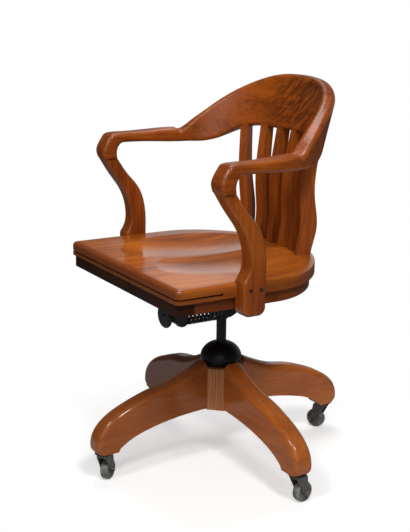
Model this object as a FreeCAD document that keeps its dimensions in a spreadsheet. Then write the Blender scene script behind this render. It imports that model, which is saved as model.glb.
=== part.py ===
# Bankers swivel chair: a horseshoe bow back with six slats, a scooped wooden seat on a
# tilting iron, and a four-legged wooden base on casters.
# Millimetres, +Z up. The chair faces -Y, the sitter's left is +X, and the origin is on
# the floor under the swivel axis.

import FreeCAD, Part
import math
import os

V = FreeCAD.Vector
Z_AXIS = V(0, 0, 1)

# Driving sizes: (alias, value, what it is)
DRIVING_SIZES = [
    ("base_turn", 1, "degrees that the base is turned under the seat"),
    ("kingpin_inset", 25, "leg's tip to its caster's stem"),
    ("foot_height", 66, "floor to the underside of a leg's foot"),
    ("leg_reach", 306, "swivel axis to a leg's tip"),
    ("leg_thickness", 44, "leg, across"),
    ("leg_root_top", 220, "top of a leg where it meets the hub"),
    ("leg_root_bottom", 120, "underside of a leg where it meets the hub"),
    ("leg_rounding", 13, "rounding of a leg's upper edges"),
    ("foot_inset", 8, "leg's tip to the end of the foot's flat"),
    ("foot_length", 40, "flat under a leg's foot"),
    ("foot_heel", 8, "how far the leg's underside steps up behind its foot"),
    ("hub_half_width", 47, "swivel axis to each flat that a leg stands on"),
    ("hub_bottom", 117, "underside of the hub post"),
    ("hub_top", 209, "top of the hub post"),
    ("dowel_radius", 6, "dowels in the base, arms and back"),
    ("dowel_length", 44, "dowels between a leg and the hub"),
    ("socket_radius", 13, "iron lining tube in the hub"),
    ("flange_radius", 37, "flange of the lining tube"),
    ("flange_thickness", 4.7, "flange of the lining tube"),
    ("nut_radius", 44, "cast nut on the hub, at its widest"),
    ("nut_rim_radius", 41, "cast nut, at its lower rim"),
    ("nut_top", 256, "top of the cast nut"),
    ("nut_neck", 2, "rim round the sleeve at the top of the cast nut"),
    ("spindle_radius", 8, "spindle"),
    ("spindle_bottom", 133, "lower end of the spindle"),
    ("spindle_engagement", 24, "length of the spindle inside the yoke"),
    ("sleeve_radius", 10.6, "smooth sleeve over the spindle"),
    ("running_clearance", 0.06, "radial clearance of a running fit"),
    ("seating_gap", 0.3, "gap between pieces that move on each other"),
    ("side_play", 0.5, "gap beside a casting that swings past another"),
    ("yoke_bottom", 308, "lower end of the yoke's socket"),
    ("yoke_radius", 13.5, "yoke's socket and head"),
    ("yoke_width", 34, "yoke's head, across"),
    ("pivot_height", 352, "tilt pin over the floor"),
    ("tilt_pin_radius", 6, "tilt pin"),
    ("pin_head_radius", 9, "heads of the tilt pin"),
    ("pin_head_length", 3.5, "heads of the tilt pin"),
    ("bolt_height", 333, "axis of the tension bolt over the floor"),
    ("bolt_radius", 4.5, "tension bolt"),
    ("bolt_reach", 143.5, "swivel axis to the front end of the tension bolt"),
    ("fork_thickness", 6, "forked lug that presses on the spring"),
    ("fork_slot_play", 1.5, "tension bolt to the sides of the lug's slot"),
    ("fork_slot_rise", 4, "how far the lug's slot runs on over the bolt"),
    ("spring_radius", 24, "coil, to the middle of the wire"),
    ("wire_radius", 3, "spring wire"),
    ("spring_turns", 7, "turns of the spring"),
    ("end_pitch", 8.5, "pitch at the two ends of the spring"),
    ("cup_seat", 101, "swivel axis to the face of the cup that the spring rests on"),
    ("cup_length", 22, "spring cup behind its seat face"),
    ("cup_radius", 30, "large end of the spring cup"),
    ("cup_nose_radius", 16, "small end of the spring cup"),
    ("cup_lip", 4, "lip of the cup round the spring's end"),
    ("cup_play", 0.6, "spring's outside to the cup's lip"),
    ("knob_hub_length", 9, "hub of the tension knob"),
    ("knob_hub_radius", 14, "hub of the tension knob"),
    ("knob_radius", 26.5, "rim of the tension knob"),
    ("knob_thickness", 9, "rim of the tension knob"),
    ("iron_thickness", 6, "seat iron's plate"),
    ("iron_arm_reach", 92, "swivel axis to each screw of the seat iron"),
    ("iron_arm_width", 24, "arms of the seat iron"),
    ("cheek_thickness", 7.5, "cheeks of the seat iron"),
    ("cheek_drop", 37, "pivot to the lower edge of the cheeks"),
    ("cheek_length", 80, "swivel axis to the back end of the cheeks"),
    ("iron_plate_margin", 8, "seat iron's plate beside each cheek"),
    ("iron_plate_front", 62, "swivel axis to the front of the seat iron's plate"),
    ("iron_plate_back", 84, "swivel axis to the back of the seat iron's plate"),
    ("screw_radius", 2.5, "shank of the wood screws"),
    ("screw_point", 3, "pointed ends of the wood screws"),
    ("screw_head_radius", 5, "heads of the seat iron's and the rails' screws"),
    ("screw_head_height", 3, "heads of the seat iron's and the rails' screws"),
    ("iron_screw_length", 19, "screws of the seat iron, under their heads"),
    ("rail_screw_length", 38, "screws of the rails, under their heads"),
    ("post_screw_length", 48, "screws of the posts, under their heads"),
    ("post_screw_head", 3.5, "heads of the posts' screws"),
    ("seat_half_width", 231, "seat, half its width"),
    ("seat_front", 240, "swivel axis to the seat's front edge"),
    ("seat_back", 184, "swivel axis to the seat's back edge"),
    ("seat_bow_start", 10, "how far in front of the axis the seat's back curve starts"),
    ("seat_roundness", 1.8, "exponent of the seat's back curve"),
    ("seat_underside", 426, "underside of the seat over the floor"),
    ("seat_thickness", 28, "seat"),
    ("seat_corner_radius", 12, "front corners of the seat"),
    ("seat_rounding", 8, "rounding of the seat's upper edge"),
    ("scoop_depth", 12, "depth of each hollow of the seat"),
    ("scoop_tall", 60, "ellipsoid that hollows the seat, half its height"),
    ("scoop_wide", 178, "ellipsoid that hollows the seat, half its width"),
    ("scoop_long", 262, "ellipsoid that hollows the seat, half its length"),
    ("scoop_apart", 78, "middle of the seat to the middle of each hollow"),
    ("scoop_forward", 32, "how far the hollows' middles lie in front of the axis"),
    ("kerf_height", 3.4, "slot round the front of the seat"),
    ("kerf_depth", 16, "slot round the front of the seat"),
    ("kerf_lip", 7, "thickness of the seat under the slot"),
    ("kerf_end", 143, "swivel axis to the round holes that end the slot"),
    ("rail_inset", 10, "seat's edge to the rails' outer face, at the sides and back"),
    ("rail_front_inset", 5, "seat's front edge to the front rail's face"),
    ("rail_height", 25, "rails under the seat"),
    ("rail_thickness", 22, "side and back rails"),
    ("front_rail_thickness", 38, "front rail"),
    ("rail_rounding", 2, "rounding of the front rail's ends"),
    ("post_thickness", 36, "arm posts, across"),
    ("post_foot", 390, "lower end of the arm posts over the floor"),
    ("post_corner_radius", 16, "lower corners of the arm posts"),
    ("post_rounding", 7, "rounding of the arm posts"),
    ("seam_height", 628, "joint between an arm post and its arm"),
    ("plug_radius", 4, "wooden plugs over the post screws"),
    ("plug_length", 8, "wooden plugs over the post screws"),
    ("peg_radius", 5, "dowels in the arms and the crest"),
    ("peg_length", 40, "dowels between an arm and the crest"),
    ("post_peg_length", 24, "dowels between a post and its arm"),
    ("bow_half_width", 239, "swivel axis to the middle of each arm"),
    ("bow_start", 110, "how far in front of the axis the arms start to draw in"),
    ("bow_back", 164, "swivel axis to the middle of the bow at the back"),
    ("bow_roundness", 2.4, "exponent of the bow's plan curve"),
    ("arm_front", 166.5, "swivel axis to the front of the arms"),
    ("arm_rise", 58, "seam of post and arm to the top of the arms"),
    ("arm_height", 30, "arms at the crest, top to underside"),
    ("arm_drop", 5, "how much lower the arms are at the front"),
    ("arm_front_height", 21, "arms at the front, top to underside"),
    ("arm_width", 44, "arms, across"),
    ("arm_rounding", 9, "rounding of the arms' edges"),
    ("crest_rise", 124, "how far the crest rises over the arms"),
    ("crest_arch", 40, "how far the crest's lower edge rises over the arms' underside"),
    ("crest_thickness", 28, "crest rail at the back"),
    ("crest_lower_rounding", 5, "rounding of the crest's lower edges"),
    ("crest_lean", 14, "degrees that the crest leans back"),
    ("slat_spacing", 50.7, "spacing of the slats at the crest"),
    ("slat_foot_spacing", 45, "spacing of the slats at the seat"),
    ("slat_thickness", 19, "slats, across"),
    ("slat_tenon", 10, "how far a slat goes into the seat and into the crest"),
    ("wheel_radius", 21, "caster wheels"),
    ("wheel_width", 18, "caster wheels"),
    ("wheel_rounding", 5, "rounding of the wheels' treads"),
    ("wheel_hub_radius", 7, "raised hub of the wheels"),
    ("wheel_rim", 6, "flat rim of the wheels' faces"),
    ("wheel_dish", 2.5, "depth of the wheels' dished faces"),
    ("wheel_side_gap", 0.6, "wheel to each plate of its fork"),
    ("axle_radius", 3, "caster axles"),
    ("axle_head_radius", 4.8, "riveted ends of the caster axles"),
    ("axle_head_length", 1.6, "riveted ends of the caster axles"),
    ("fork_eye_width", 4, "fork plates round the axle"),
    ("fork_heel", 10, "stem to the front edge of the fork's plates"),
    ("fork_toe", 2, "axle to the back edge of the fork's plates at the top"),
    ("caster_trail", 16, "caster stem to its wheel's axle, level"),
    ("stem_radius", 4.5, "caster stems"),
    ("stem_length", 34, "caster stems inside the legs"),
    ("stem_socket_radius", 6.5, "sockets of the caster stems"),
    ("caster_plate_radius", 19, "round plates under the feet"),
    ("caster_plate_thickness", 4, "round plates under the feet"),
    ("fork_plate_thickness", 2.6, "side plates of the caster forks"),
    ("crown_thickness", 4.5, "crown of the caster forks"),
    ("crown_radius", 14, "crown of the caster forks"),
]

# Sizes that follow from the driving ones
DERIVED_SIZES = [
    ("kingpin_radius", "=leg_reach - kingpin_inset", "swivel axis to each caster stem"),
    ("seat_top", "=seat_underside + seat_thickness", "top of the seat's rim over the floor"),
    ("arm_top", "=seam_height + arm_rise", "top of the arms over the floor"),
    ("arm_front_top", "=arm_top - arm_drop", "top of the arms at the front"),
]

# Each leg: the side it stands on, its direction from the base's own X axis, and the way
# its caster trails, in degrees
LEGS = [("front", -90, 128), ("left", 0, 100), ("back", 90, 203), ("right", 180, 50)]
SLAT_COUNT = 6

doc = FreeCAD.newDocument("bankers_swivel_chair")
sheet = doc.addObject("Spreadsheet::Sheet", "sizes")
for row, (alias, value, meaning) in enumerate(DRIVING_SIZES + DERIVED_SIZES, start=1):
    sheet.set(f"A{row}", meaning)
    sheet.set(f"B{row}", str(value))
    sheet.setAlias(f"B{row}", alias)
doc.recompute()
parts = []


def mm(alias):
    """A driving size as a number."""
    return float(sheet.get(alias))


def between(low, high, share):
    """The value that lies a share of the way from low to high."""
    return low + (high - low) * share


def ease(value, low, high):
    """0 before low, 1 after high, and a smooth step from one to the other."""
    share = min(max((value - low) / (high - low), 0.0), 1.0)
    return share * share * (3 - 2 * share)


# Helpers that make document objects

def keep(made):
    """Count a finished sub-part among those that are written."""
    parts.append(made)
    return made


def body(label, place=None):
    made = doc.addObject("PartDesign::Body", label)
    made.Label = label
    if place:
        made.Placement = place
    return made


def origin_feature(owner, role):
    return next(f for f in owner.Origin.OriginFeatures if f.Role == role)


def sketch(owner, role, edges, offset=0.0):
    """A sketch on one of a body's origin planes, moved along that plane's normal."""
    made = owner.newObject("Sketcher::SketchObject", "sketch")
    made.AttachmentSupport = [(origin_feature(owner, role), "")]
    made.MapMode = "FlatFace"
    made.AttachmentOffset = FreeCAD.Placement(V(0, 0, offset), FreeCAD.Rotation())
    made.addGeometry(edges, False)
    return made


def extrude(kind, owner, profile, length, side="One side", reverse=False):
    """A Pad or Pocket whose length is an expression in words of the sheet."""
    made = owner.newObject("PartDesign::" + kind, kind.lower())
    made.Profile = profile
    made.setExpression("Length", length)
    made.SideType = side
    made.Reversed = reverse
    doc.recompute()
    return made


def pad(owner, profile, length, **options):
    return extrude("Pad", owner, profile, length, **options)


def pocket(owner, profile, length, **options):
    return extrude("Pocket", owner, profile, length, **options)


def revolve(owner, profile, axis="V_Axis"):
    made = owner.newObject("PartDesign::Revolution", "revolution")
    made.Profile = profile
    made.ReferenceAxis = (profile, [axis])
    made.Angle = 360
    doc.recompute()
    return made


def around(owner, feature, axis, count):
    """A polar pattern of one feature about one of the body's axes."""
    made = owner.newObject("PartDesign::PolarPattern", "pattern")
    made.Originals = [feature]
    made.Axis = (origin_feature(owner, axis), [""])
    made.Angle = 360
    made.Occurrences = count
    owner.Tip = made
    doc.recompute()
    return made


def edges_where(feature, test):
    """Names of a feature's edges whose middle point passes a test."""
    return [f"Edge{i}" for i, edge in enumerate(feature.Shape.Edges, start=1)
            if test(edge.CenterOfMass, edge)]


def round_edges(owner, feature, test, radius):
    made = owner.newObject("PartDesign::Fillet", "rounding")
    made.Base = (feature, edges_where(feature, test))
    made.setExpression("Radius", radius)
    doc.recompute()
    return made


# Helpers that make sketch geometry

def line(a, b):
    return Part.LineSegment(V(*a, 0), V(*b, 0))


def curve(points, start_way=None, end_way=None):
    """A smooth curve through points, with the directions of both ends if they are given."""
    made = Part.BSplineCurve()
    through = [V(x, y, 0) for x, y in points]
    if start_way:
        made.interpolate(Points=through, InitialTangent=V(*start_way, 0),
                         FinalTangent=V(*end_way, 0))
    else:
        made.interpolate(through)
    return made


def polygon(points):
    return [line(a, b) for a, b in zip(points, points[1:] + points[:1])]


def circle(x, y, radius):
    return Part.Circle(V(x, y, 0), Z_AXIS, radius)


def rectangle(x0, y0, x1, y1):
    return polygon([(x0, y0), (x1, y0), (x1, y1), (x0, y1)])


def arc(x, y, radius, start, end):
    """An arc about (x, y), from start to end in degrees, turning left."""
    return Part.ArcOfCircle(circle(x, y, radius), math.radians(start), math.radians(end))


def turned(x=0, y=0, z=0, angle=0, axis=Z_AXIS):
    return FreeCAD.Placement(V(x, y, z), FreeCAD.Rotation(axis, angle))


def on_base(place):
    """A place on the base, which stands turned a little under the seat."""
    return turned(angle=mm("base_turn")) * place


def group(label, members):
    """Identical small pieces that share one sub-part."""
    made = doc.addObject("Part::Compound", label)
    made.Label = label
    made.Links = members
    return made


def rod(radius, length, place, name="rod"):
    """A plain cylinder along the placement's Z, sized by expressions."""
    made = doc.addObject("Part::Cylinder", name)
    made.setExpression("Radius", radius)
    made.setExpression("Height", length)
    made.Placement = place
    return made


def cut(label, base, tools):
    made = doc.addObject("Part::Cut", label)
    made.Label = label
    made.Base = base
    made.Tool = tools[0] if len(tools) == 1 else group(label + "_tools", tools)
    return made


def mirrored(label, source):
    """The right-hand twin of a left-hand piece."""
    made = doc.addObject("Part::Mirroring", label)
    made.Label = label
    made.Source = source
    made.Normal = V(1, 0, 0)
    return made


# Base: hub post, legs and their dowels

LEG_TOP_SHAPE = [(0, 1), (0.17, 0.86), (0.33, 0.765), (0.48, 0.72), (0.63, 0.643),
                 (0.785, 0.54), (0.89, 0.435), (0.965, 0.305), (0.996, 0.18), (1, 0.09)]
LEG_UNDERSIDE_SHAPE = [(0.13, 0.34), (0.33, 0.63), (0.55, 0.83), (0.78, 0.95), (1, 1)]
DOWEL_HEIGHTS = (0.28, 0.72)


def leg(side, direction):
    """A sawn leg: its profile runs from the hub's flat to the rounded tip."""
    owner = body(side + "_leg", on_base(turned(angle=direction)))
    root, tip = mm("hub_half_width"), mm("leg_reach")
    foot, top, underside = mm("foot_height"), mm("leg_root_top"), mm("leg_root_bottom")
    upper = [(between(root, tip, r), between(foot, top, z)) for r, z in LEG_TOP_SHAPE]
    flat_end = tip - mm("foot_inset")
    flat_start = flat_end - mm("foot_length")
    heel = (flat_start - mm("foot_heel") * 0.6, foot + mm("foot_heel"))
    lower = [heel] + [(between(heel[0], root, r), between(heel[1], underside, z))
                      for r, z in LEG_UNDERSIDE_SHAPE]
    profile = sketch(owner, "XZ_Plane", [
        curve(upper),
        curve([upper[-1], (between(tip, flat_end, 0.25), foot + mm("foot_heel") * 0.75),
               (flat_end, foot)]),
        line((flat_end, foot), (flat_start, foot)),
        line((flat_start, foot), heel),
        curve(lower),
        line(lower[-1], upper[0]),
    ])
    blank = pad(owner, profile, "sizes.leg_thickness", side="Symmetric")
    half = mm("leg_thickness") / 2
    round_edges(owner, blank, lambda p, e: abs(abs(p.y) - half) < 1e-6
                and e.Length > (tip - root) / 2 and p.z > underside, "sizes.leg_rounding")
    holes = sketch(owner, "YZ_Plane", [circle(0, between(underside, top, share), mm("dowel_radius"))
                                       for share in DOWEL_HEIGHTS], offset=root)
    pocket(owner, holes, "sizes.dowel_length / 2", reverse=True)
    sockets = sketch(owner, "XY_Plane", [circle(mm("kingpin_radius"), 0, mm("stem_socket_radius"))],
                     offset=foot)
    pocket(owner, sockets, "sizes.stem_length", reverse=True)
    return keep(owner)


def hub_post():
    """A square post with cut corners: a leg stands on each of the four wide flats."""
    owner = body("hub_post", on_base(turned()))
    flat, half = mm("hub_half_width"), mm("leg_thickness") / 2
    corners = []
    for quarter in range(4):
        turn = FreeCAD.Rotation(Z_AXIS, 90 * quarter)
        corners += [turn.multVec(V(flat, y, 0)) for y in (-half, half)]
    outline = sketch(owner, "XY_Plane", polygon([(c.x, c.y) for c in corners])
                     + [circle(0, 0, mm("socket_radius"))], offset=mm("hub_bottom"))
    pad(owner, outline, "sizes.hub_top - sizes.hub_bottom")
    for share in DOWEL_HEIGHTS:
        height = between(mm("leg_root_bottom"), mm("leg_root_top"), share)
        hole = sketch(owner, "YZ_Plane", [circle(0, height, mm("dowel_radius"))], offset=flat)
        around(owner, pocket(owner, hole, "sizes.dowel_length / 2"), "Z_Axis", 4)
    return keep(owner)


def leg_dowels():
    pegs = []
    start = mm("hub_half_width") - mm("dowel_length") / 2
    for _, direction, _ in LEGS:
        for share in DOWEL_HEIGHTS:
            height = between(mm("leg_root_bottom"), mm("leg_root_top"), share)
            lying = on_base(turned(angle=direction)) * turned(start, 0, height, 90, V(0, 1, 0))
            pegs.append(rod("sizes.dowel_radius", "sizes.dowel_length", lying, "peg"))
    return keep(group("leg_dowels", pegs))


def turning(label, outline, place=None, bore=None):
    """A turned piece: outline points (radius, height) about the vertical axis."""
    owner = body(label, place)
    if bore is not None:
        outline = [(bore, outline[0][1])] + outline + [(bore, outline[-1][1])]
    revolve(owner, sketch(owner, "XZ_Plane", polygon(outline)))
    return owner


def hub_socket():
    bottom, top = mm("hub_bottom"), mm("hub_top")
    tube, flange = mm("socket_radius"), mm("flange_radius")
    thick = mm("flange_thickness")
    return keep(turning("hub_socket", [(tube, bottom), (tube, top), (flange, top),
                                       (flange, top + thick)],
                        bore=mm("spindle_radius") + mm("running_clearance")))


def hub_nut():
    """The cast dome that the spindle runs in: it rests on the flange."""
    owner = body("hub_nut")
    bore = mm("spindle_radius") + mm("running_clearance")
    low = mm("hub_top") + mm("flange_thickness")
    top = mm("nut_top")
    wide, rim, neck = mm("nut_radius"), mm("nut_rim_radius"), mm("sleeve_radius") + mm("nut_neck")
    shoulder = between(low, top, 0.22)
    waist = [(rim, low), (wide, shoulder)]
    dome = [(wide, shoulder), (between(neck, wide, 0.95), between(shoulder, top, 0.28)),
            (between(neck, wide, 0.74), between(shoulder, top, 0.62)),
            (between(neck, wide, 0.35), between(shoulder, top, 0.9)), (neck, top)]
    profile = sketch(owner, "XZ_Plane", [
        line((bore, low), waist[0]), line(*waist), curve(dome),
        line((neck, top), (bore, top)), line((bore, top), (bore, low))])
    revolve(owner, profile)
    return keep(owner)


# Column: spindle, sleeve, yoke, tilt pin, tension bolt and spring

def spindle():
    top = mm("yoke_bottom") + mm("spindle_engagement")
    owner = turning("spindle", [(mm("spindle_radius"), mm("spindle_bottom")),
                                (mm("spindle_radius"), top)], bore=0.0)
    return keep(owner)


def spindle_sleeve():
    low = mm("nut_top") + mm("seating_gap")
    return keep(turning("spindle_sleeve", [(mm("sleeve_radius"), low),
                                           (mm("sleeve_radius"), mm("yoke_bottom"))],
                        bore=mm("spindle_radius")))


def yoke():
    """The casting on the spindle: a socket below, and a round head for the tilt pin."""
    owner = body("yoke")
    radius, pivot = mm("yoke_radius"), mm("pivot_height")
    low = mm("yoke_bottom")
    neck = between(low, pivot, 0.6)
    head = sketch(owner, "YZ_Plane", [line((-radius, neck), (radius, neck)),
                                      line((radius, neck), (radius, pivot)),
                                      arc(0, pivot, radius, 0, 180),
                                      line((-radius, pivot), (-radius, neck))])
    pad(owner, head, "sizes.yoke_width", side="Symmetric")
    foot = sketch(owner, "XY_Plane", [circle(0, 0, radius)], offset=low)
    pad(owner, foot, "sizes.pivot_height - sizes.yoke_bottom")
    bore = sketch(owner, "XY_Plane", [circle(0, 0, mm("spindle_radius"))], offset=low)
    pocket(owner, bore, "sizes.spindle_engagement", reverse=True)
    pin_bore = sketch(owner, "YZ_Plane", [circle(0, pivot, mm("tilt_pin_radius"))])
    pocket(owner, pin_bore, "sizes.yoke_width + 2", side="Symmetric")
    bolt_bore = sketch(owner, "XZ_Plane", [circle(0, mm("bolt_height"), mm("bolt_radius"))],
                       offset=mm("spindle_radius"))
    pocket(owner, bolt_bore, "sizes.yoke_radius", reverse=True)
    return keep(owner)


def cheek_outside():
    """Half the width over the seat iron's two cheeks."""
    return mm("yoke_width") / 2 + mm("side_play") + mm("cheek_thickness")


def tilt_pin():
    shaft, head = mm("tilt_pin_radius"), mm("pin_head_radius")
    reach = cheek_outside() + mm("seating_gap")
    end = reach + mm("pin_head_length")
    owner = turning("tilt_pin", [(0, -end), (head, -end), (head, -reach), (shaft, -reach),
                                 (shaft, reach), (head, reach), (head, end), (0, end)],
                    turned(0, 0, mm("pivot_height"), 90, V(0, 1, 0)))
    return keep(owner)


def on_bolt(y):
    """A place on the tension bolt's axis, with Z pointing out to the front."""
    return FreeCAD.Placement(V(0, y, mm("bolt_height")), FreeCAD.Rotation(V(1, 0, 0), 90))


def tension_bolt():
    radius, start, end = mm("bolt_radius"), mm("spindle_radius"), mm("bolt_reach")
    owner = turning("tension_bolt", [(0, start), (radius, start), (radius, end - 2),
                                     (radius - 2, end), (0, end)], on_bolt(0))
    return keep(owner)


def fork_face():
    """How far in front of the axis the spring meets the forked lug."""
    return mm("yoke_radius") + mm("side_play") + mm("fork_thickness")


def spring_point(turn):
    """Centre of the wire after some turns: the pitch is finer at the two ends."""
    turns, length = mm("spring_turns"), spring_length()
    mean_pitch = length / turns
    finer = (mean_pitch - mm("end_pitch")) * turns / (2 * math.pi)
    along = mean_pitch * turn - finer * math.sin(2 * math.pi * turn / turns)
    angle = 2 * math.pi * turn
    return V(mm("spring_radius") * math.cos(angle), mm("spring_radius") * math.sin(angle), along)


def spring_length():
    """From the wire's centre at one end of the spring to its centre at the other."""
    room = mm("cup_seat") - fork_face() - 2 * mm("seating_gap")
    return room - 2 * mm("wire_radius")


def spring_direction(turn):
    step = 1e-4
    return (spring_point(turn + step) - spring_point(turn - step)).normalize()


def arc_from(start, tangent, end):
    """The arc that leaves start along a tangent and ends at end."""
    chord = end - start
    across = chord - tangent * chord.dot(tangent)
    radius = chord.dot(chord) / (2 * across.Length)
    centre = start + across.normalize() * radius
    middle = centre + ((start - centre) + (end - centre)).normalize() * radius
    return Part.Arc(start, middle, end)


def biarc(start, start_way, end, end_way):
    """Two arcs that join two points and share their tangents."""
    chord, ways = end - start, start_way + end_way
    bend = 2 * (1 - start_way.dot(end_way))
    reach = (-chord.dot(ways) + math.sqrt(chord.dot(ways) ** 2 + bend * chord.dot(chord))) / bend
    joint = (start + end + (start_way - end_way) * reach) * 0.5
    first = arc_from(start, start_way, joint)
    back = arc_from(end, end_way * -1, joint)
    second = Part.Arc(joint, back.value((back.FirstParameter + back.LastParameter) / 2), end)
    return [first.toShape(), second.toShape()]


def tension_spring():
    """One unbroken wire, wound on biarcs of half a turn each."""
    halves = round(mm("spring_turns") * 2)
    ends = [mm("spring_turns") * i / halves for i in range(halves + 1)]
    edges = []
    for a, b in zip(ends, ends[1:]):
        edges += biarc(spring_point(a), spring_direction(a), spring_point(b), spring_direction(b))
    section = Part.Wire(Part.Circle(spring_point(0), spring_direction(0), mm("wire_radius")).toShape())
    coil = Part.Wire(edges).makePipeShell([section], True, False)
    made = doc.addObject("Part::Feature", "tension_spring")
    made.Label = "tension_spring"
    made.Shape = coil
    made.Placement = on_bolt(-fork_face() - mm("seating_gap") - mm("wire_radius"))
    samples = [spring_point(mm("spring_turns") * i / 400) for i in range(401)]
    apart = round(0.7 * 400 / mm("spring_turns"))
    least = min((samples[i] - q).Length for i in range(401) for q in samples[i + apart:])
    print(f"tension_spring: least gap to itself {least - 2 * mm('wire_radius'):.2f} mm")
    return keep(made)


# Tension cup and knob on the bolt

def spring_cup():
    """A cone whose open end holds the spring."""
    bore = mm("bolt_radius") + mm("running_clearance")
    seat, lip = mm("cup_seat"), mm("cup_lip")
    nose = seat + mm("cup_length")
    inside = mm("spring_radius") + mm("wire_radius") + mm("cup_play")
    outside = mm("cup_radius")
    owner = turning("spring_cup", [
        (bore, seat), (inside, seat), (inside, seat - lip), (outside - 1, seat - lip),
        (outside, seat - lip + 1), (outside, seat + 1), (outside - 1.5, seat + 5),
        (between(outside, mm("cup_nose_radius"), 0.55), between(seat, nose, 0.5)),
        (mm("cup_nose_radius"), nose), (bore, nose)], on_bolt(0))
    return keep(owner)


def tension_knob():
    """A small hand wheel with a rounded rim, and a hub behind it."""
    owner = body("tension_knob", on_bolt(0))
    bore = mm("bolt_radius") + mm("running_clearance")
    back = mm("cup_seat") + mm("cup_length") + mm("seating_gap")
    rim = back + mm("knob_hub_length")
    hub, radius, thick = mm("knob_hub_radius"), mm("knob_radius"), mm("knob_thickness")
    soft = thick / 2
    profile = sketch(owner, "XZ_Plane", [
        line((bore, back), (hub, back)), line((hub, back), (hub - 1, rim)),
        line((hub - 1, rim), (radius - soft, rim)),
        arc(radius - soft, rim + soft, soft, -90, 90),
        line((radius - soft, rim + thick), (bore, rim + thick)),
        line((bore, rim + thick), (bore, back))])
    revolve(owner, profile)
    return keep(owner)


# Seat iron and its screws

IRON_ANGLE = 45


def tip_angle(tine, wide):
    """How far the lug's round lower edge turns before it meets its slot, in degrees."""
    return math.degrees(math.acos(tine / wide))


def tip_height(bolt, tine, wide):
    """The height at which the lug's round lower edge meets its slot."""
    return bolt - math.sqrt(wide ** 2 - tine ** 2)


def seat_iron():
    """A cast spider under the seat, with two cheeks on the pin and a forked lug between."""
    owner = body("seat_iron")
    top, thick = mm("seat_underside"), mm("iron_thickness")
    under = top - thick
    inner, outer = mm("yoke_width") / 2 + mm("side_play"), cheek_outside()
    pivot, bolt, margin = mm("pivot_height"), mm("bolt_height"), mm("iron_plate_margin")
    half_arm, reach = mm("iron_arm_width") / 2, mm("iron_arm_reach")
    plate = sketch(owner, "XY_Plane", rectangle(
        -outer - margin, -mm("iron_plate_front"), outer + margin, mm("iron_plate_back")), offset=under)
    pad(owner, plate, "sizes.iron_thickness")
    arm_outline = sketch(owner, "XY_Plane", [
        line((0, -half_arm), (reach, -half_arm)), arc(reach, 0, half_arm, -90, 90),
        line((reach, half_arm), (0, half_arm)), line((0, half_arm), (0, -half_arm))], offset=under)
    arm_outline.AttachmentOffset = turned(0, 0, under, IRON_ANGLE)
    around(owner, pad(owner, arm_outline, "sizes.iron_thickness"), "Z_Axis", 4)
    front, low, end = -fork_face(), pivot - mm("cheek_drop"), mm("cheek_length")
    cheek = sketch(owner, "YZ_Plane", [
        line((front, under), (front, low)), line((front, low), (end * 0.08, low)),
        curve([(end * 0.08, low), (end * 0.35, between(low, under, 0.12)),
               (end * 0.62, between(low, under, 0.47)), (end, under)]),
        line((end, under), (front, under))], offset=inner)
    pad(owner, cheek, "sizes.cheek_thickness")
    cheek = sketch(owner, "YZ_Plane", cheek.Geometry, offset=-inner)
    pad(owner, cheek, "sizes.cheek_thickness", reverse=True)
    tine = mm("bolt_radius") + mm("fork_slot_play")
    wide = mm("spring_radius") + mm("wire_radius")
    web_low = bolt + mm("bolt_radius") + mm("fork_slot_rise")
    lug = sketch(owner, "XZ_Plane", [
        line((-wide, under), (-wide, bolt)), arc(0, bolt, wide, 180, 180 + tip_angle(tine, wide)),
        line((-tine, tip_height(bolt, tine, wide)), (-tine, web_low)),
        arc(0, web_low, tine, 0, 180),
        line((tine, web_low), (tine, tip_height(bolt, tine, wide))),
        arc(0, bolt, wide, 360 - tip_angle(tine, wide), 360),
        line((wide, bolt), (wide, under)), line((wide, under), (-wide, under))],
        offset=fork_face() - mm("fork_thickness"))
    pad(owner, lug, "sizes.fork_thickness")
    bore = sketch(owner, "YZ_Plane", [circle(0, pivot, mm("tilt_pin_radius")
                                             + mm("running_clearance"))])
    pocket(owner, bore, "sizes.yoke_width + 4 * sizes.cheek_thickness", side="Symmetric")
    hole = sketch(owner, "XY_Plane", [circle(reach, 0, mm("screw_radius"))], offset=under)
    hole.AttachmentOffset = turned(0, 0, under, IRON_ANGLE)
    around(owner, pocket(owner, hole, "sizes.iron_thickness", reverse=True), "Z_Axis", 4)
    return keep(owner)


def wood_screw(head_face, length, place):
    """A round-headed screw: its head lies below head_face and its shank runs up."""
    shank, head, tall = mm("screw_radius"), mm("screw_head_radius"), mm("screw_head_height")
    return turning("screw", [
        (0, head_face - tall), (head * 0.7, head_face - tall), (head, head_face - tall / 3),
        (head, head_face), (shank, head_face), (shank, head_face + length - mm("screw_point")),
        (0, head_face + length)], place)


def iron_screws():
    under = mm("seat_underside") - mm("iron_thickness")
    places = [turned(angle=IRON_ANGLE + 90 * i) * turned(mm("iron_arm_reach")) for i in range(4)]
    length = mm("iron_screw_length")
    return keep(group("iron_screws", [wood_screw(under, length, place) for place in places]))


# Seat and the rails under it

def back_curve(inset):
    """Half of the seat's back edge, from the side to the middle, moved inwards."""
    half, start = mm("seat_half_width"), -mm("seat_bow_start")
    deep, power = mm("seat_back") - start, mm("seat_roundness")
    points = []
    for degrees in (0, 15, 30, 45, 60, 75, 90):
        angle = math.radians(degrees)
        x = half * math.cos(angle) ** (2 / power)
        y = start + deep * math.sin(angle) ** (2 / power)
        out = V(abs(x / half) ** (power - 1) / half, abs((y - start) / deep) ** (power - 1) / deep, 0)
        out.normalize()
        points.append((x - inset * out.x, y - inset * out.y))
    return points


def both_sides(half_curve):
    """The whole back edge, from the left side over the middle to the right side."""
    return half_curve + [(-x, y) for x, y in reversed(half_curve[:-1])]


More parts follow.
